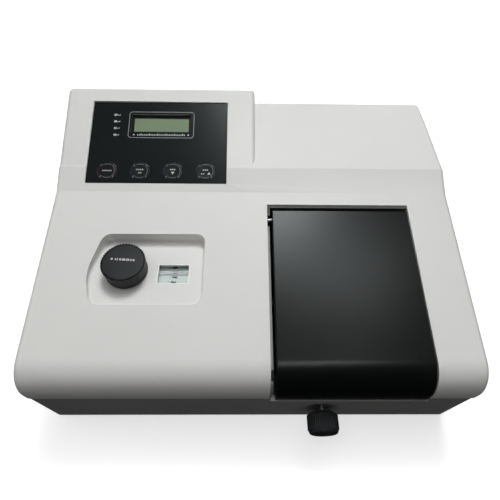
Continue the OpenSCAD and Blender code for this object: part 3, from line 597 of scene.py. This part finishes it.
def join_flat(bm):
    bmesh.ops.dissolve_limit(bm, angle_limit=math.radians(FLAT_DEG), verts=bm.verts, edges=bm.edges)


def dress(node):
    """The CAD node as it is, with its slot's material, small rounded edges and even shading."""
    o = NODES[node]
    o.data.materials.clear()
    o.data.materials.append(M[SLOT[node]].mat)
    for p in o.data.polygons:
        p.use_smooth = True
        p.material_index = 0
    weld = o.modifiers.new("weld", "WELD")
    weld.merge_threshold = WELD_M
    round_edges(o, DRESS_MM, DRESS_DEG)
    even_shading(o)


def remade(node, name, rules):
    """The node's mesh with its edges rounded by rules, each tried on what the last one left:
    width in mm, segments, test of an edge, and whether neighbouring edges limit the width."""
    bm = welded(node)
    join_flat(bm)
    bmesh.ops.dissolve_degenerate(bm, dist=WELD_M, edges=bm.edges)
    for width, steps, chosen, clamp in rules:
        steep = [e for e in bm.edges if len(e.link_faces) == 2
                 and e.calc_face_angle(0) > math.radians(EDGE_DEG) and chosen(e)]
        if steep:
            bmesh.ops.bevel(bm, geom=steep, offset=width * MM, offset_type="OFFSET", segments=steps,
                            profile=0.5, affect="EDGES", clamp_overlap=clamp, harden_normals=False)
    shade_smooth(bm, SHARP_DEG)
    o = mesh_object(name, bm, M[SLOT[node]])
    even_shading(o)
    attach(o, BODY[node])
    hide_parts(node)
    REPLACED.add(node)


def liner(node, name, x0, x1, lift, thick, look):
    """Thin strip over the upward and forward faces of a node between two x values, in a colour that
    paints shade.
    """
    bm = welded(node)
    rest = [f for f in bm.faces
            if not (all(x0 <= v.co.x / MM <= x1 for v in f.verts) and abs(f.normal.x) < 0.05
                    and (f.normal.z > 0.1 or f.normal.y < -0.3))]
    bmesh.ops.delete(bm, geom=rest, context="FACES")
    join_flat(bm)
    for v in bm.verts:
        v.normal_update()
    for v, n in [(v, v.normal.copy()) for v in bm.verts]:
        v.co += n * lift * MM
    bmesh.ops.solidify(bm, geom=bm.faces[:], thickness=thick * MM)
    for f in bm.faces:
        f.smooth = False
    o = mesh_object(name, bm, look)
    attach(o, BODY[node])


# ---------------------------------------------------------------- cover and lid
WINDOW_LO, WINDOW_HI = low("scale_window"), high("scale_window")
BAY_Z = low("wavelength_knob")[2] - 1  # floor of the knob bay
BAY_TOP = 152  # just over the highest point of its rim
BAY_BOX = (-182, -52, -97, -12)  # round its rim: left, right, front, back
STEP_BOX = (2.5, 3.5, 43, 190, 155, 171)  # foot of the console's right side
COVE_R, COVE_STEPS = 3.0, 6
SKIN = 1.5  # the cover's deck lies this far under the lid's face
CUT = 0.2  # how far the fillet reaches into the wall and the floor


def in_box(e, x0, x1, y0, y1, z0, z1):
    return all(x0 <= v.co.x / MM <= x1 and y0 <= v.co.y / MM <= y1 and z0 <= v.co.z / MM <= z1
               for v in e.verts)


def at_window(e):
    """Edges of the window's opening in the floor of the bay."""
    return in_box(e, WINDOW_LO[0] - 1, WINDOW_HI[0] + 1, WINDOW_LO[1] - 1, WINDOW_HI[1] + 1,
                  BAY_Z - 0.1, BAY_Z + 0.1)


def outer_rim(node):
    """Test of the edges round the outside of a wrapped plate: its two sides and its back."""
    lo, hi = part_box(node)
    near = 0.02 * MM

    def chosen(e):
        at_side = any(all(abs(v.co.x - x) < near for v in e.verts) for x in (lo.x, hi.x))
        at_back = all(abs(v.co.y - hi.y) < near for v in e.verts)
        outward = any(f.normal.z > 0.2 or f.normal.y < -0.5 for f in e.link_faces
                      if abs(f.normal.x) < 0.3)
        return (at_side or at_back) and outward
    return chosen


def floor_outline(node, z_mm, x_below):
    """Outline of a flat floor of a CAD node, as points in mm, counter-clockwise."""
    bm = welded(node)
    flat = [f for f in bm.faces if f.normal.z > 0.99 and f.calc_center_median().x / MM < x_below
            and all(abs(v.co.z / MM - z_mm) < 0.02 for v in f.verts)]
    inside = set(flat)
    after = {}  # the next corner along the border
    for f in flat:
        for loop in f.loops:
            if len([g for g in loop.edge.link_faces if g in inside]) == 1:
                after[loop.vert] = loop.link_loop_next.vert
    best, widest = [], 0.0
    while after:
        start, here = next(iter(after.items()))
        ring = [start]
        while here in after and here is not start:
            ring.append(here)
            here = after.pop(here)
        after.pop(start, None)
        points = [(v.co.x / MM, v.co.y / MM) for v in ring]
        width = max(p[0] for p in points) - min(p[0] for p in points)
        if width > widest:
            best, widest = points, width
    bm.free()
    return best


def deck_height(y, plane):
    """Height of the cover's deck, which is parallel to the lid's plane."""
    on, n = plane.origin / MM, plane.n
    return on.z - (y - on.y) * n.y / n.z - SKIN / n.z


def bay_cove(outline):
    """Concave fillet where the walls of the knob bay meet its floor."""
    deck = Plane("lid")
    rings = []
    for i, p in enumerate(outline):
        before, after = Vector(outline[i - 1]), Vector(outline[(i + 1) % len(outline)])
        p = Vector(p)
        inward = Vector((0, 0))
        for a, b in ((before, p), (p, after)):
            d = (b - a).normalized()
            inward += Vector((-d.y, d.x))
        inward.normalize()
        r = min(COVE_R, 0.8 * (deck_height(p.y, deck) - BAY_Z))
        ring = [(*(p - inward * CUT), BAY_Z - CUT), (*(p - inward * CUT), BAY_Z + r)]
        for k in range(COVE_STEPS + 1):
            a = math.radians(180 + 90 * k / COVE_STEPS)
            q = p + inward * (r + r * math.cos(a))
            ring.append((q.x, q.y, BAY_Z + 0.01 + r + r * math.sin(a)))
        ring.append((*(p + inward * r), BAY_Z - CUT))
        rings.append(ring)
    part = Solid()
    part.loft(rings, closed=True)
    part.done("bay_cove", "off_white_case", "instrument", sharp=60)


remade("case", "cover", [
    (0.8, 1, at_window, True),
    (0.9, 3, lambda e: in_box(e, *BAY_BOX, BAY_Z + 0.5, BAY_TOP), True),
    (2.2, 4, lambda e: in_box(e, *STEP_BOX), True),
    (0.35, 2, lambda e: not in_box(e, *BAY_BOX, BAY_Z - 0.1, BAY_Z + 0.1), True),
])
remade("lid", "compartment_lid", [
    (1.3, 4, outer_rim("lid"), False),
    (0.3, 2, lambda e: True, True),
])
# grey strip on the white ledge in the gap left of the lid: painted shade of the gap
liner("case", "gap_shade_strip", 16.7, 19.7, 0.12, 0.3,
      moulded("gap_shade_plastic", (0.31, 0.31, 0.305), 0.6, 0.4, 0.01, 0.95))
bay_cove(floor_outline("case", BAY_Z, -50))

# ---------------------------------------------------------------- console
PANEL = Plane("membrane_panel")
PANE = Plane("lcd_window")
PRINT = (0.0, 0.05)  # lower and upper level of the ink on the film
OUTLINE = (45.3, 126.5, 61.0, 98.0)  # printed round the display: left, right, front, back
OUTLINE_W, OUTLINE_R = 0.75, 4.2
LABEL_BARS, LABEL_PITCH = 29, 2.05
LAMPS, LAMP_PITCH = 4, 9.35
RED_INK = ink("red_ink", (0.20, 0.035, 0.05))
BLUE_INK = ink("blue_ink", (0.055, 0.07, 0.125))
GREY_INK = ink("grey_ink", (0.24, 0.25, 0.26))
PALE_INK = ink("pale_ink", (0.62, 0.63, 0.63))
KEY_TOP, KEY_R = 0.4, 11.7
KEY_INK = (0.1, 0.22)  # lower and upper level of the marks in the dished middle of a key
RIM_ARC, GREY_ARC, TICK_AT = (10.75, 11.2), (8.7, 9.25), 10.2  # radii of the printed rings
# for each key, its rows of marks (how many, first, pitch, width, front, back) and its triangle
KEY_MARKS = [
    ([(5, -5.6, 2.3, 1.7, -0.5, 0.9)], []),
    ([(4, -4.6, 2.3, 1.6, 1.1, 2.6), (2, -1.8, 2.1, 1.5, -3.2, -1.6)], []),
    ([(3, -3.4, 2.3, 1.6, 1.4, 2.9)], [(-2.1, -0.9), (0, -4.3), (2.1, -0.9)]),
    ([(3, -3.4, 2.3, 1.6, 1.2, 2.5), (2, -5.2, 2.2, 1.5, -3.8, -2.6)],
     [(2.2, -4.2), (6.2, -4.2), (4.2, -0.9)]),
]
# the display, in the pane's plane: left, right, front, back of each part, then its levels
OPENING, GLASS, CARD = (3.2, 71.2, 2.2, 22.2), (2.6, 71.8, 1.6, 22.8), (-3.0, 78.4, -8.0, 29.0)
BEZEL_TOP, GLASS_TOP, GLASS_LOW, CARD_TOP, CARD_LOW = -1.25, -2.0, -2.6, -5.2, -6.8
CELL_ROWS, CELL_COLUMNS = 2, 16
CELL_PITCH, CELL_SIZE = (3.8, 7.8), (3.1, 6.2)
TAB = (5, 1.2)  # width and depth of a tab of the frame


def display_outline():
    x0, x1, y0, y1 = OUTLINE
    t = OUTLINE_W
    outline = Solid(PANEL.frame())
    outline.band(rounded(x0, x1, y0, y1, OUTLINE_R, 8),
                 rounded(x0 + t, x1 - t, y0 + t, y1 - t, OUTLINE_R - 0.7, 8), *PRINT)
    outline.done("overlay_frame", "lamp_mark", "instrument",
                 look=ink("outline_ink", (0.34, 0.35, 0.35)))


def overlay_prints():
    """Bars between two dots under the display, and three marks beside each lamp."""
    prints = Solid(PANEL.frame())
    for u in (51.7, 118.9):
        prints.block(u, u + 1.7, 64.6, 66.3, *PRINT)
    for i in range(LABEL_BARS):
        u = 57 + LABEL_PITCH * i
        tall = 2.6 if i % 5 == 2 else 1.7
        prints.block(u, u + 1.1, 64.2, 64.4 + tall, *PRINT)
    for i in range(LAMPS):
        u, v, longer = 26.0 - 0.6 * i, 93.0 - LAMP_PITCH * i, 0.6 * i
        prints.block(u + 3.4, u + 4.4, v - 0.6, v + 1.3, *PRINT)
        prints.block(u + 4.9, u + 6.7 + longer, v - 0.6, v + 0.2, *PRINT)
        prints.block(u + 7.3 + longer, u + 8.3 + longer, v - 0.6, v + 0.9, *PRINT)
    prints.done("overlay_prints", "lamp_mark", "instrument",
                look=ink("overlay_ink", (0.62, 0.63, 0.63)))


def key(number, rows, triangle):
    """A round key with a raised rim: its cap, two coloured arcs, a grey ring and its marks."""
    node = f"key_{number}"
    mid = Vector(centre(node)) * MM - PANEL.origin
    where = PANEL.frame(mid.dot(PANEL.u) / MM, mid.dot(PANEL.v) / MM)
    cap = Solid(where)
    cap.lathe([(2.5, -5.6), (2.5, -1.1), (KEY_R, -1.1), (KEY_R, 0.0), (KEY_R - 0.4, 0.28),
               (KEY_R - 1.1, KEY_TOP), (8.0, KEY_TOP), (7.2, 0.22), (6.4, 0.16), (0.02, 0.18)],
              steps=72)
    cap.done(f"cap_{number}", "key_black", node, (node,), sharp=50)
    coloured = Solid(where)
    for middle in (180, 0):
        coloured.arc(*RIM_ARC, middle - 58, middle + 58, KEY_TOP - 0.12, KEY_TOP + 0.02)
    coloured.done(f"rim_print_{number}", "key_black", node, look=RED_INK if number == 1 else BLUE_INK)
    grey = Solid(where)
    for middle, half in ((90, 32), (270, 32), (0, 38)):
        grey.arc(*GREY_ARC, middle - half, middle + half, KEY_TOP - 0.05, KEY_TOP + 0.03)
    for a in (45, 135, 225, 315):
        x, y = TICK_AT * math.cos(math.radians(a)), TICK_AT * math.sin(math.radians(a))
        grey.bar(x, y, 3.0, 0.8, a - 12, KEY_TOP - 0.05, KEY_TOP + 0.03)
    grey.done(f"arc_print_{number}", "white_line", node, look=GREY_INK)
    marks = Solid(where)
    for count, first, pitch, wide, front, back in rows:
        for k in range(count):
            left = first + pitch * k
            marks.block(left, left + wide, front, back, *KEY_INK)
    if triangle:
        marks.prism(triangle, *KEY_INK)
    marks.done(f"key_print_{number}", "white_line", node, look=PALE_INK)


def display():
    """The display from its frame under the pane down to its board."""
    w, h = PANE.size
    bezel = Solid(PANE.frame())
    bezel.band(rounded(-0.5, w + 0.5, -1.0, h + 1.0, 0.6, 2), rounded(*OPENING, 0.3, 2),
               CARD_TOP, BEZEL_TOP)
    for u in (6, 24, 42, 60):  # bent tabs that hold the frame to the board
        for v in (-1.9, h + 0.7):
            bezel.block(u, u + TAB[0], v, v + TAB[1], CARD_TOP - 0.7, CARD_TOP + 0.5)
    coat = coated("frame_coat", (0.004, 0.004, 0.0045), 0.6, 1.0, 0.01)
    bezel.done("display_frame", "overlay_black", "instrument", round_mm=0.2,
               look=coat.set(Specular_IOR_Level=0.15))
    glass = Solid(PANE.frame())
    glass.block(*GLASS, GLASS_LOW, GLASS_TOP)
    glass.done("display_glass", "lcd_green", "instrument", ("lcd_module",))
    cells = Solid(PANE.frame())
    for row in range(CELL_ROWS):
        for column in range(CELL_COLUMNS):
            u, v = 6.9 + CELL_PITCH[0] * column, 4.9 + CELL_PITCH[1] * row
            cells.block(u, u + CELL_SIZE[0], v, v + CELL_SIZE[1], GLASS_TOP, GLASS_TOP + 0.03)
    cells.done("display_cells", "lcd_green", "instrument",
               look=film("lcd_cells", (0.235, 0.31, 0.185), 0.3))
    card = Solid(PANE.frame())
    card.block(*CARD, CARD_LOW, CARD_TOP)
    left, right, front, back = CARD
    for u in (left + 2.5, right - 2.5):
        for v in (front + 2.5, back - 2.5):
            card.lathe([(1.6, CARD_TOP - 0.1), (1.6, CARD_TOP + 0.7), (1.2, CARD_TOP + 0.9),
                        (0.1, CARD_TOP + 0.9)], (u, v), 20)
    card.done("display_card", "board_green", "instrument", round_mm=0.1)


display_outline()
overlay_prints()
for number, (rows, triangle) in enumerate(KEY_MARKS, 1):
    key(number, rows, triangle)
display()

# ---------------------------------------------------------------- knob and dial
KNOB_X, KNOB_Y = centre("wavelength_knob")[:2]
KNOB_R = (high("wavelength_knob")[0] - low("wavelength_knob")[0]) / 2
KNOB_LOW = low("wavelength_knob")[2]
KNOB_H = high("wavelength_knob")[2] - KNOB_LOW
RIM_LOW = KNOB_H - 3.4
FACE_R = KNOB_R - 2.1
# marks on the knob's face: middle, width and height of each
KNOB_MARKS = [(-12.3, 2.2, 2.0), (-8.4, 1.0, 2.2), (-6.4, 1.0, 2.8), (-3.3, 1.7, 2.4),
              (-0.6, 1.1, 2.7), (1.3, 1.6, 2.6), (3.9, 1.0, 2.9), (5.7, 1.4, 2.2),
              (8.4, 1.0, 2.6), (11.1, 1.9, 2.1)]
FIRST_NM, LAST_NM, STEP_NM = 340, 1000, 10
ZERO_NM, ZERO_DEG, DEG_PER_NM = 520, 3.0, 0.35  # the wavelength read at rest, and where it is
TEXT_R, TICK_R = 51.6, 47.4
INK_MM = 0.04


def grip(r, depth, z):
    """Outline of the knob at one height, with a hollow for every flute."""
    return ridged(r, depth, z, 46, 8, 2)


def knob():
    """Fluted skirt, glossy rim, face and a row of marks."""
    foot = (KNOB_X, KNOB_Y, KNOB_LOW)
    r, h = KNOB_R, KNOB_H
    skirt = Solid(upright(*foot))
    skirt.loft([grip(*row) for row in [
        (3.2, 0, 0), (r - 1.6, 0, 0), (r - 0.9, 0, 0.4), (r - 0.8, 0, 1.6), (r - 1.3, 0.1, 1.9),
        (r - 1.1, 0.9, 2.3), (r - 1.1, 0.9, RIM_LOW), (r - 3.0, 0.6, RIM_LOW + 0.3),
        (0.05, 0, RIM_LOW + 0.3)]])
    skirt.done("knob", "knob_black", "wavelength_control", ("wavelength_knob",), sharp=50)
    rim = Solid(upright(*foot))
    rim.loft([grip(*row) for row in [
        (r - 6, 0, RIM_LOW + 0.1), (r - 1.3, 0.9, RIM_LOW), (r - 0.3, 1.3, RIM_LOW + 0.8),
        (r, 1.4, RIM_LOW + 1.5), (r, 1.4, h - 0.8), (r - 0.3, 1.3, h - 0.25), (r - 0.9, 0.8, h),
        (FACE_R + 0.3, 0, h - 0.05), (FACE_R, 0, h - 0.7), (0.05, 0, h - 0.8)]])
    rim.done("knob_rim", "knob_black", "wavelength_control", sharp=50,
             look=moulded("knob_rim", (0.004, 0.0045, 0.005), 0.3, 0.35, 0.006, 1.3))
    face = Solid(upright(*foot))
    face.lathe([(0.02, h - 0.9), (FACE_R - 0.15, h - 0.9), (FACE_R - 0.15, h - 0.5),
                (FACE_R - 0.6, h - 0.15), (12, h - 0.05), (0.02, h)], steps=96)
    face.done("knob_face", "knob_black", "wavelength_control", sharp=50)
    row = Solid(upright(KNOB_X, KNOB_Y, KNOB_LOW + h, turned(-4, "Z")))
    for x, wide, tall in KNOB_MARKS:
        row.block(x - wide / 2, x + wide / 2, 2.6 - tall / 2, 2.6 + tall / 2, -0.2, INK_MM)
    row.done("knob_print", "white_line", "wavelength_control", look=ink("knob_ink", (0.8, 0.8, 0.8)))


def dial_scale():
    """A tick every 10 nm, with a longer one and a number every 20 nm."""
    scale = Solid(upright(KNOB_X, KNOB_Y, high("wavelength_dial")[2]))
    for nm in range(FIRST_NM, LAST_NM + 1, STEP_NM):
        turn = ZERO_DEG - (nm - ZERO_NM) * DEG_PER_NM
        c, s = math.cos(math.radians(turn)), math.sin(math.radians(turn))
        numbered = nm % (2 * STEP_NM) == 0
        if numbered:
            scale.words(str(nm), 3.9, TEXT_R * c, TEXT_R * s, turn, INK_MM, 0.2)
        tick = 2.0 if numbered else 1.0
        middle = TICK_R - tick / 2
        scale.bar(middle * c, middle * s, tick, 0.3, turn, 0.0, INK_MM)
    scale.done("dial_scale", "knob_black", "wavelength_control",
               look=ink("dial_ink", (0.008, 0.009, 0.01)))


def reading_line():
    """White line on the underside of the pane, with a painted shadow in front of it."""
    left, right = low("cursor_line")[0], high("cursor_line")[0]
    pane = low("scale_window")[2]
    white = Solid()
    white.block(left, right, KNOB_Y + 0.8, KNOB_Y + 1.9, pane - 0.12, pane - 0.02)
    white.done("reading_line", "white_line", "instrument", ("cursor_line",),
               look=ink("reading_ink", (0.97, 0.97, 0.96)))
    # dark bar in front of the white line: painted shadow
    dark = Solid()
    dark.block(left, right, KNOB_Y + 0.35, KNOB_Y + 0.8, pane - 0.12, pane - 0.02)
    dark.done("reading_line_shadow", "white_line", "instrument",
              look=ink("painted_shadow_ink", (0.26, 0.27, 0.27)))


def bright_rims():
    """Thin rims round the overlay and the dial window, whiter than the cover: a painted highlight along
    their edges.
    """
    # whiter than the cover's plastic: painted highlight
    white = moulded("highlight_plastic", (0.95, 0.95, 0.94), 0.35, 0.45, 0.006, 0.985)
    w, h = PANEL.size
    rim = Solid(PANEL.frame())
    rim.band(rounded(-1.0, w + 1.0, -1.0, h + 1.0, 1.4),
             rounded(-0.15, w + 0.15, -0.15, h + 0.15, 0.6), -0.7, 0.12)
    rim.done("overlay_rim", "off_white_case", "instrument", round_mm=0.1, look=white)
    lip = 3  # width of the ledge that the pane rests on
    x0, y0, x1, y1 = WINDOW_LO[0] + lip, WINDOW_LO[1] + lip, WINDOW_HI[0] - lip, WINDOW_HI[1] - lip
    rim = Solid()
    rim.band(rounded(x0 - 1.0, x1 + 1.0, y0 - 1.0, y1 + 1.0, 0.9),
             rounded(x0 + 0.1, x1 - 0.1, y0 + 0.1, y1 - 0.1, 0.3), BAY_Z - 1.2, BAY_Z + 0.1)
    rim.done("window_rim", "off_white_case", "instrument", round_mm=0.15, look=white)


knob()
dial_scale()
reading_line()
bright_rims()


# ---------------------------------------------------------------- pull-rod knob and feet
def knurl(r, depth, z):
    """Outline of the pull rod's knob at one length, with a hollow for every ridge."""
    return ridged(r, depth, z, 40, 6, 1.5)


def rod_grip():
    x, _, z = centre("rod_knob")
    r = (high("rod_knob")[0] - low("rod_knob")[0]) / 2
    end = high("rod_knob")[1] - low("rod_knob")[1]
    part = Solid(facing(x, high("rod_knob")[1], z, 90))
    part.loft([knurl(*row) for row in [
        (3.2, 0, 0), (r - 6, 0, 0), (r - 4.2, 0, 0.5), (r - 3.6, 0, 2.0), (r - 1.4, 0, 2.6),
        (r - 0.4, 0.2, 3.2), (r, 0.7, 4.0), (r, 0.7, end - 5.0), (r - 0.4, 0.2, end - 4.2),
        (r - 1.2, 0, end - 3.4), (r - 1.3, 0, end - 2.0), (r - 2.2, 0, end - 0.8),
        (r - 4.0, 0, end - 0.1), (r - 6.0, 0, end - 0.3), (r - 8.0, 0, end - 0.9),
        (0.05, 0, end - 1.1)]])
    part.done("rod_grip", "knob_black", "cell_carriage", ("rod_knob",), sharp=50)


def rubber_feet():
    """Four discs with two grooves in the sole."""
    lo, hi = low("feet"), high("feet")
    r, top = 12.0, hi[2]
    feet = Solid()
    for x in (lo[0] + r, hi[0] - r):
        for y in (lo[1] + r, hi[1] - r):
            feet.lathe([(0.05, 2.5), (4.4, 2.5), (4.5, 0.4), (4.9, 0.0), (6.6, 0.0), (6.9, 0.5),
                        (7.4, 0.5), (7.7, 0.0), (9.4, 0.0), (9.7, 0.5), (10.2, 0.5), (10.5, 0.0),
                        (10.9, 0.0), (11.5, 0.5), (11.8, 2.0), (r, top - 0.6),
                        (11.5, top), (0.05, top)], (x, y), 40)
    feet.done("rubber_feet", "foot_rubber", "instrument", ("feet",))


rod_grip()
rubber_feet()

# ---------------------------------------------------------------- rear fittings
BACK = high("base_tray")[1]
BLADES, BLADE_STEPS = 7, 6
HUB_R, TIP_R = 12.6, 26.3
WIRE_R = 0.85
GUARD_RINGS = (7.4, 14.2, 21.2, 28.1)
PIN_PITCH = 2.75
SCREW_R = 3.0
ROCKER_REST, ROCKER_FACE = 8, 10.91  # tilt at rest, and of each face from the middle, in degrees


def on_back(node, out=0.0):
    """Local frame on the back wall at a node's middle: x to the left, z outwards."""
    x, _, z = centre(node)
    return Solid(facing(x, BACK + out, z, -90))


def pan_head(part, x, y, z, r, height):
    """Pan head of a screw, on a face that looks along local z."""
    part.lathe([(r, z), (r, z + 0.35 * height), (0.86 * r, z + 0.75 * height),
                (0.5 * r, z + height), (0.05, z + height)], (x, y), 28)


def mains_inlet():
    """Collar, two screws with crossed ribs, and three blades."""
    collar = on_back("mains_inlet")
    collar.band(rounded(-13.9, 13.9, -10.0, 10.0, 2.4), rounded(-12.0, 12.0, -8.0, 8.0, 1.0),
                2.4, 3.8)
    collar.done("inlet_collar", "socket_black", "instrument", round_mm=0.35)
    metal = on_back("mains_inlet")
    for x in (-20, 20):
        pan_head(metal, x, 0, 1.9, SCREW_R, 1.5)
        for angle in (30, 120):
            metal.bar(x, 0, 3.4, 0.7, angle, 3.3, 3.5)
    for x, y in ((-7, 2), (0, -2.5), (7, 2)):
        metal.block(x - 1.06, x + 1.06, y - 2.56, y + 2.56, -16.8, -1.6)
    metal.done("inlet_metal", "screw_steel", "instrument", round_mm=0.2)


def data_port():
    """Nine pins in two rows, the insert round them and two hexagonal posts."""
    pins = on_back("data_port")
    for count, first, y in ((5, -5.5, -1.4), (4, -4.1, 1.4)):
        for i in range(count):
            pins.lathe([(0.5, -8), (0.5, 2.0), (0.3, 2.5), (0.05, 2.6)], (first + PIN_PITCH * i, y), 12)
    pins.done("port_pins", "gold_can", "instrument")
    insert = on_back("data_port")
    insert.prism([(-8.1, 3.3), (8.1, 3.3), (7.2, -3.3), (-7.2, -3.3)], -8.0, -2.2)
    insert.done("port_insert", "socket_black", "instrument")
    posts = on_back("data_port")
    for x in (-12.5, 12.5):
        posts.prism(circle(2.7, 6, (x, 0)), 0.9, 3.6)
        posts.washer(1.0, 1.6, 3.5, 4.1, (x, 0), 20)
    posts.done("port_posts", "port_steel", "instrument", round_mm=0.2)


def fan_guard():
    """Rings of wire on spokes, with a plate in the middle and a screw in each corner."""
    guard = on_back("fan_frame")
    for r in GUARD_RINGS:
        guard.tube(at_height(circle(r, 72), 0.85), WIRE_R, closed=True)
    for a in (0, 45, 90, 135):
        near, reach = GUARD_RINGS[0], 32 if a in (45, 135) else GUARD_RINGS[-1]
        for side in (-1, 1):
            c, s = side * math.cos(math.radians(a)), side * math.sin(math.radians(a))
            guard.tube([(c * near, s * near, 0.6), (c * reach, s * reach, 0.6)], 0.9 * WIRE_R)
    for x in (-25, 25):
        for y in (-25, 25):
            guard.washer(1.9, 3.4, -0.2, 0.9, (x, y), 28)
            pan_head(guard, x, y, 0.8, SCREW_R, 0.9)
    guard.lathe([(0.05, 0.2), (7.0, 0.2), (7.0, 0.7), (6.3, 1.1), (0.05, 1.1)], steps=40)
    guard.done("fan_guard_wires", "guard_steel", "instrument", ("fan_guard",))


def blade_section(turn, part):
    """Closed section of a blade, at a part of the way from the hub to its tip."""
    r = HUB_R + (TIP_R - HUB_R) * part
    lean = math.radians(38 - 12 * part)
    chord = 11.0 + part
    sweep = math.radians(16) * part ** 1.3
    section = []
    for half_thick, places in ((0.55, (-0.5, -0.25, 0.0, 0.25, 0.5)),
                               (-0.55, (0.5, 0.25, 0.0, -0.25, -0.5))):
        for t in places:
            bow = 1.1 * (1 - 4 * t * t)
            a = turn + sweep + (t * chord * math.cos(lean)) / r
            z = -12.2 + t * chord * math.sin(lean) * 0.92 + bow + half_thick
            section.append((r * math.cos(a), r * math.sin(a), z))
    return section


def fan_rotor():
    """Hub with a turned groove and swept blades."""
    rotor = on_back("fan_frame", 1)
    rotor.ring([(2.1, -17.5), (12.4, -17.5), (13.0, -16.9), (13.0, -8.0), (12.0, -6.9), (9.5, -6.9),
                (9.2, -7.3), (8.0, -7.3), (7.7, -6.9), (2.1, -6.9)], steps=56)
    for i in range(BLADES):
        turn = math.tau * i / BLADES
        rotor.loft([blade_section(turn, k / BLADE_STEPS) for k in range(BLADE_STEPS + 1)])
    rotor.done("fan_blades", "fan_black", "fan_rotor", ("fan_rotor",), sharp=40)


def rocker_marks():
    """A ring on the upper face of the mains rocker and a bar on the lower one."""
    x, _, z = centre("switch_bezel")
    axle = Vector((x, high("switch_bezel")[1] - 6, z))
    at_rest = turned(ROCKER_REST, "X")
    for name, along, tilt in (("off", 4.15, ROCKER_FACE), ("on", -4.15, -ROCKER_FACE)):
        on_face = Matrix.Translation((0, 6.24 * MM, along * MM)) @ turned(-90 - tilt, "X")
        sign = Solid(Matrix.Translation(axle * MM) @ at_rest @ on_face @ Matrix.Scale(MM, 4))
        if name == "off":
            sign.washer(1.5, 2.0, -0.1, 0.06, steps=32)
        else:
            sign.block(-0.3, 0.3, -2.0, 2.0, -0.1, 0.06)
        sign.done(f"rocker_{name}_mark", "white_line", "mains_rocker", look=PALE_INK)


mains_inlet()
data_port()
fan_guard()
fan_rotor()
rocker_marks()

# ---------------------------------------------------------------- the other nodes
for node in NODES:
    if node not in REPLACED:
        dress(node)


# ---------------------------------------------------------------- stage
FLOOR_M = 8
DOME_R = 14000  # mm


def pale_paper(name, base, rough, spots, scale, glow):
    """Paper that gives off a little light of its own."""
    s = Shade(name, base, rough)
    s.tint(s.noise(scale, 3), spots)
    return s.set(Emission_Color=(1, 1, 1, 1), Emission_Strength=glow)


def make_floor():
    bpy.ops.mesh.primitive_plane_add(size=FLOOR_M, location=(0, 0, -0.0002))
    floor = bpy.context.object
    floor.name = "floor"
    floor.visible_diffuse = False
    floor.visible_glossy = False
    paper = pale_paper("floor_paper", (0.95, 0.95, 0.95), 0.9, (0.94, 0.94, 0.94), 3, 0.6)
    floor.data.materials.append(paper.mat)


def make_dome():
    """Pale dome behind everything, seen by the camera only."""
    dome = Solid()
    rise = [math.radians(a) for a in range(-2, 90, 6)]
    dome.loft([at_height(circle(DOME_R * math.cos(a)), DOME_R * math.sin(a) - 400) for a in rise])
    paper = pale_paper("dome_paper", (0.02, 0.02, 0.02), 1.0, (0.03, 0.03, 0.03), 2, 0.97)
    shell = mesh_object("dome", dome.bm, paper)
    for ray in ("visible_diffuse", "visible_glossy", "visible_transmission", "visible_shadow"):
        setattr(shell, ray, False)


make_floor()
make_dome()
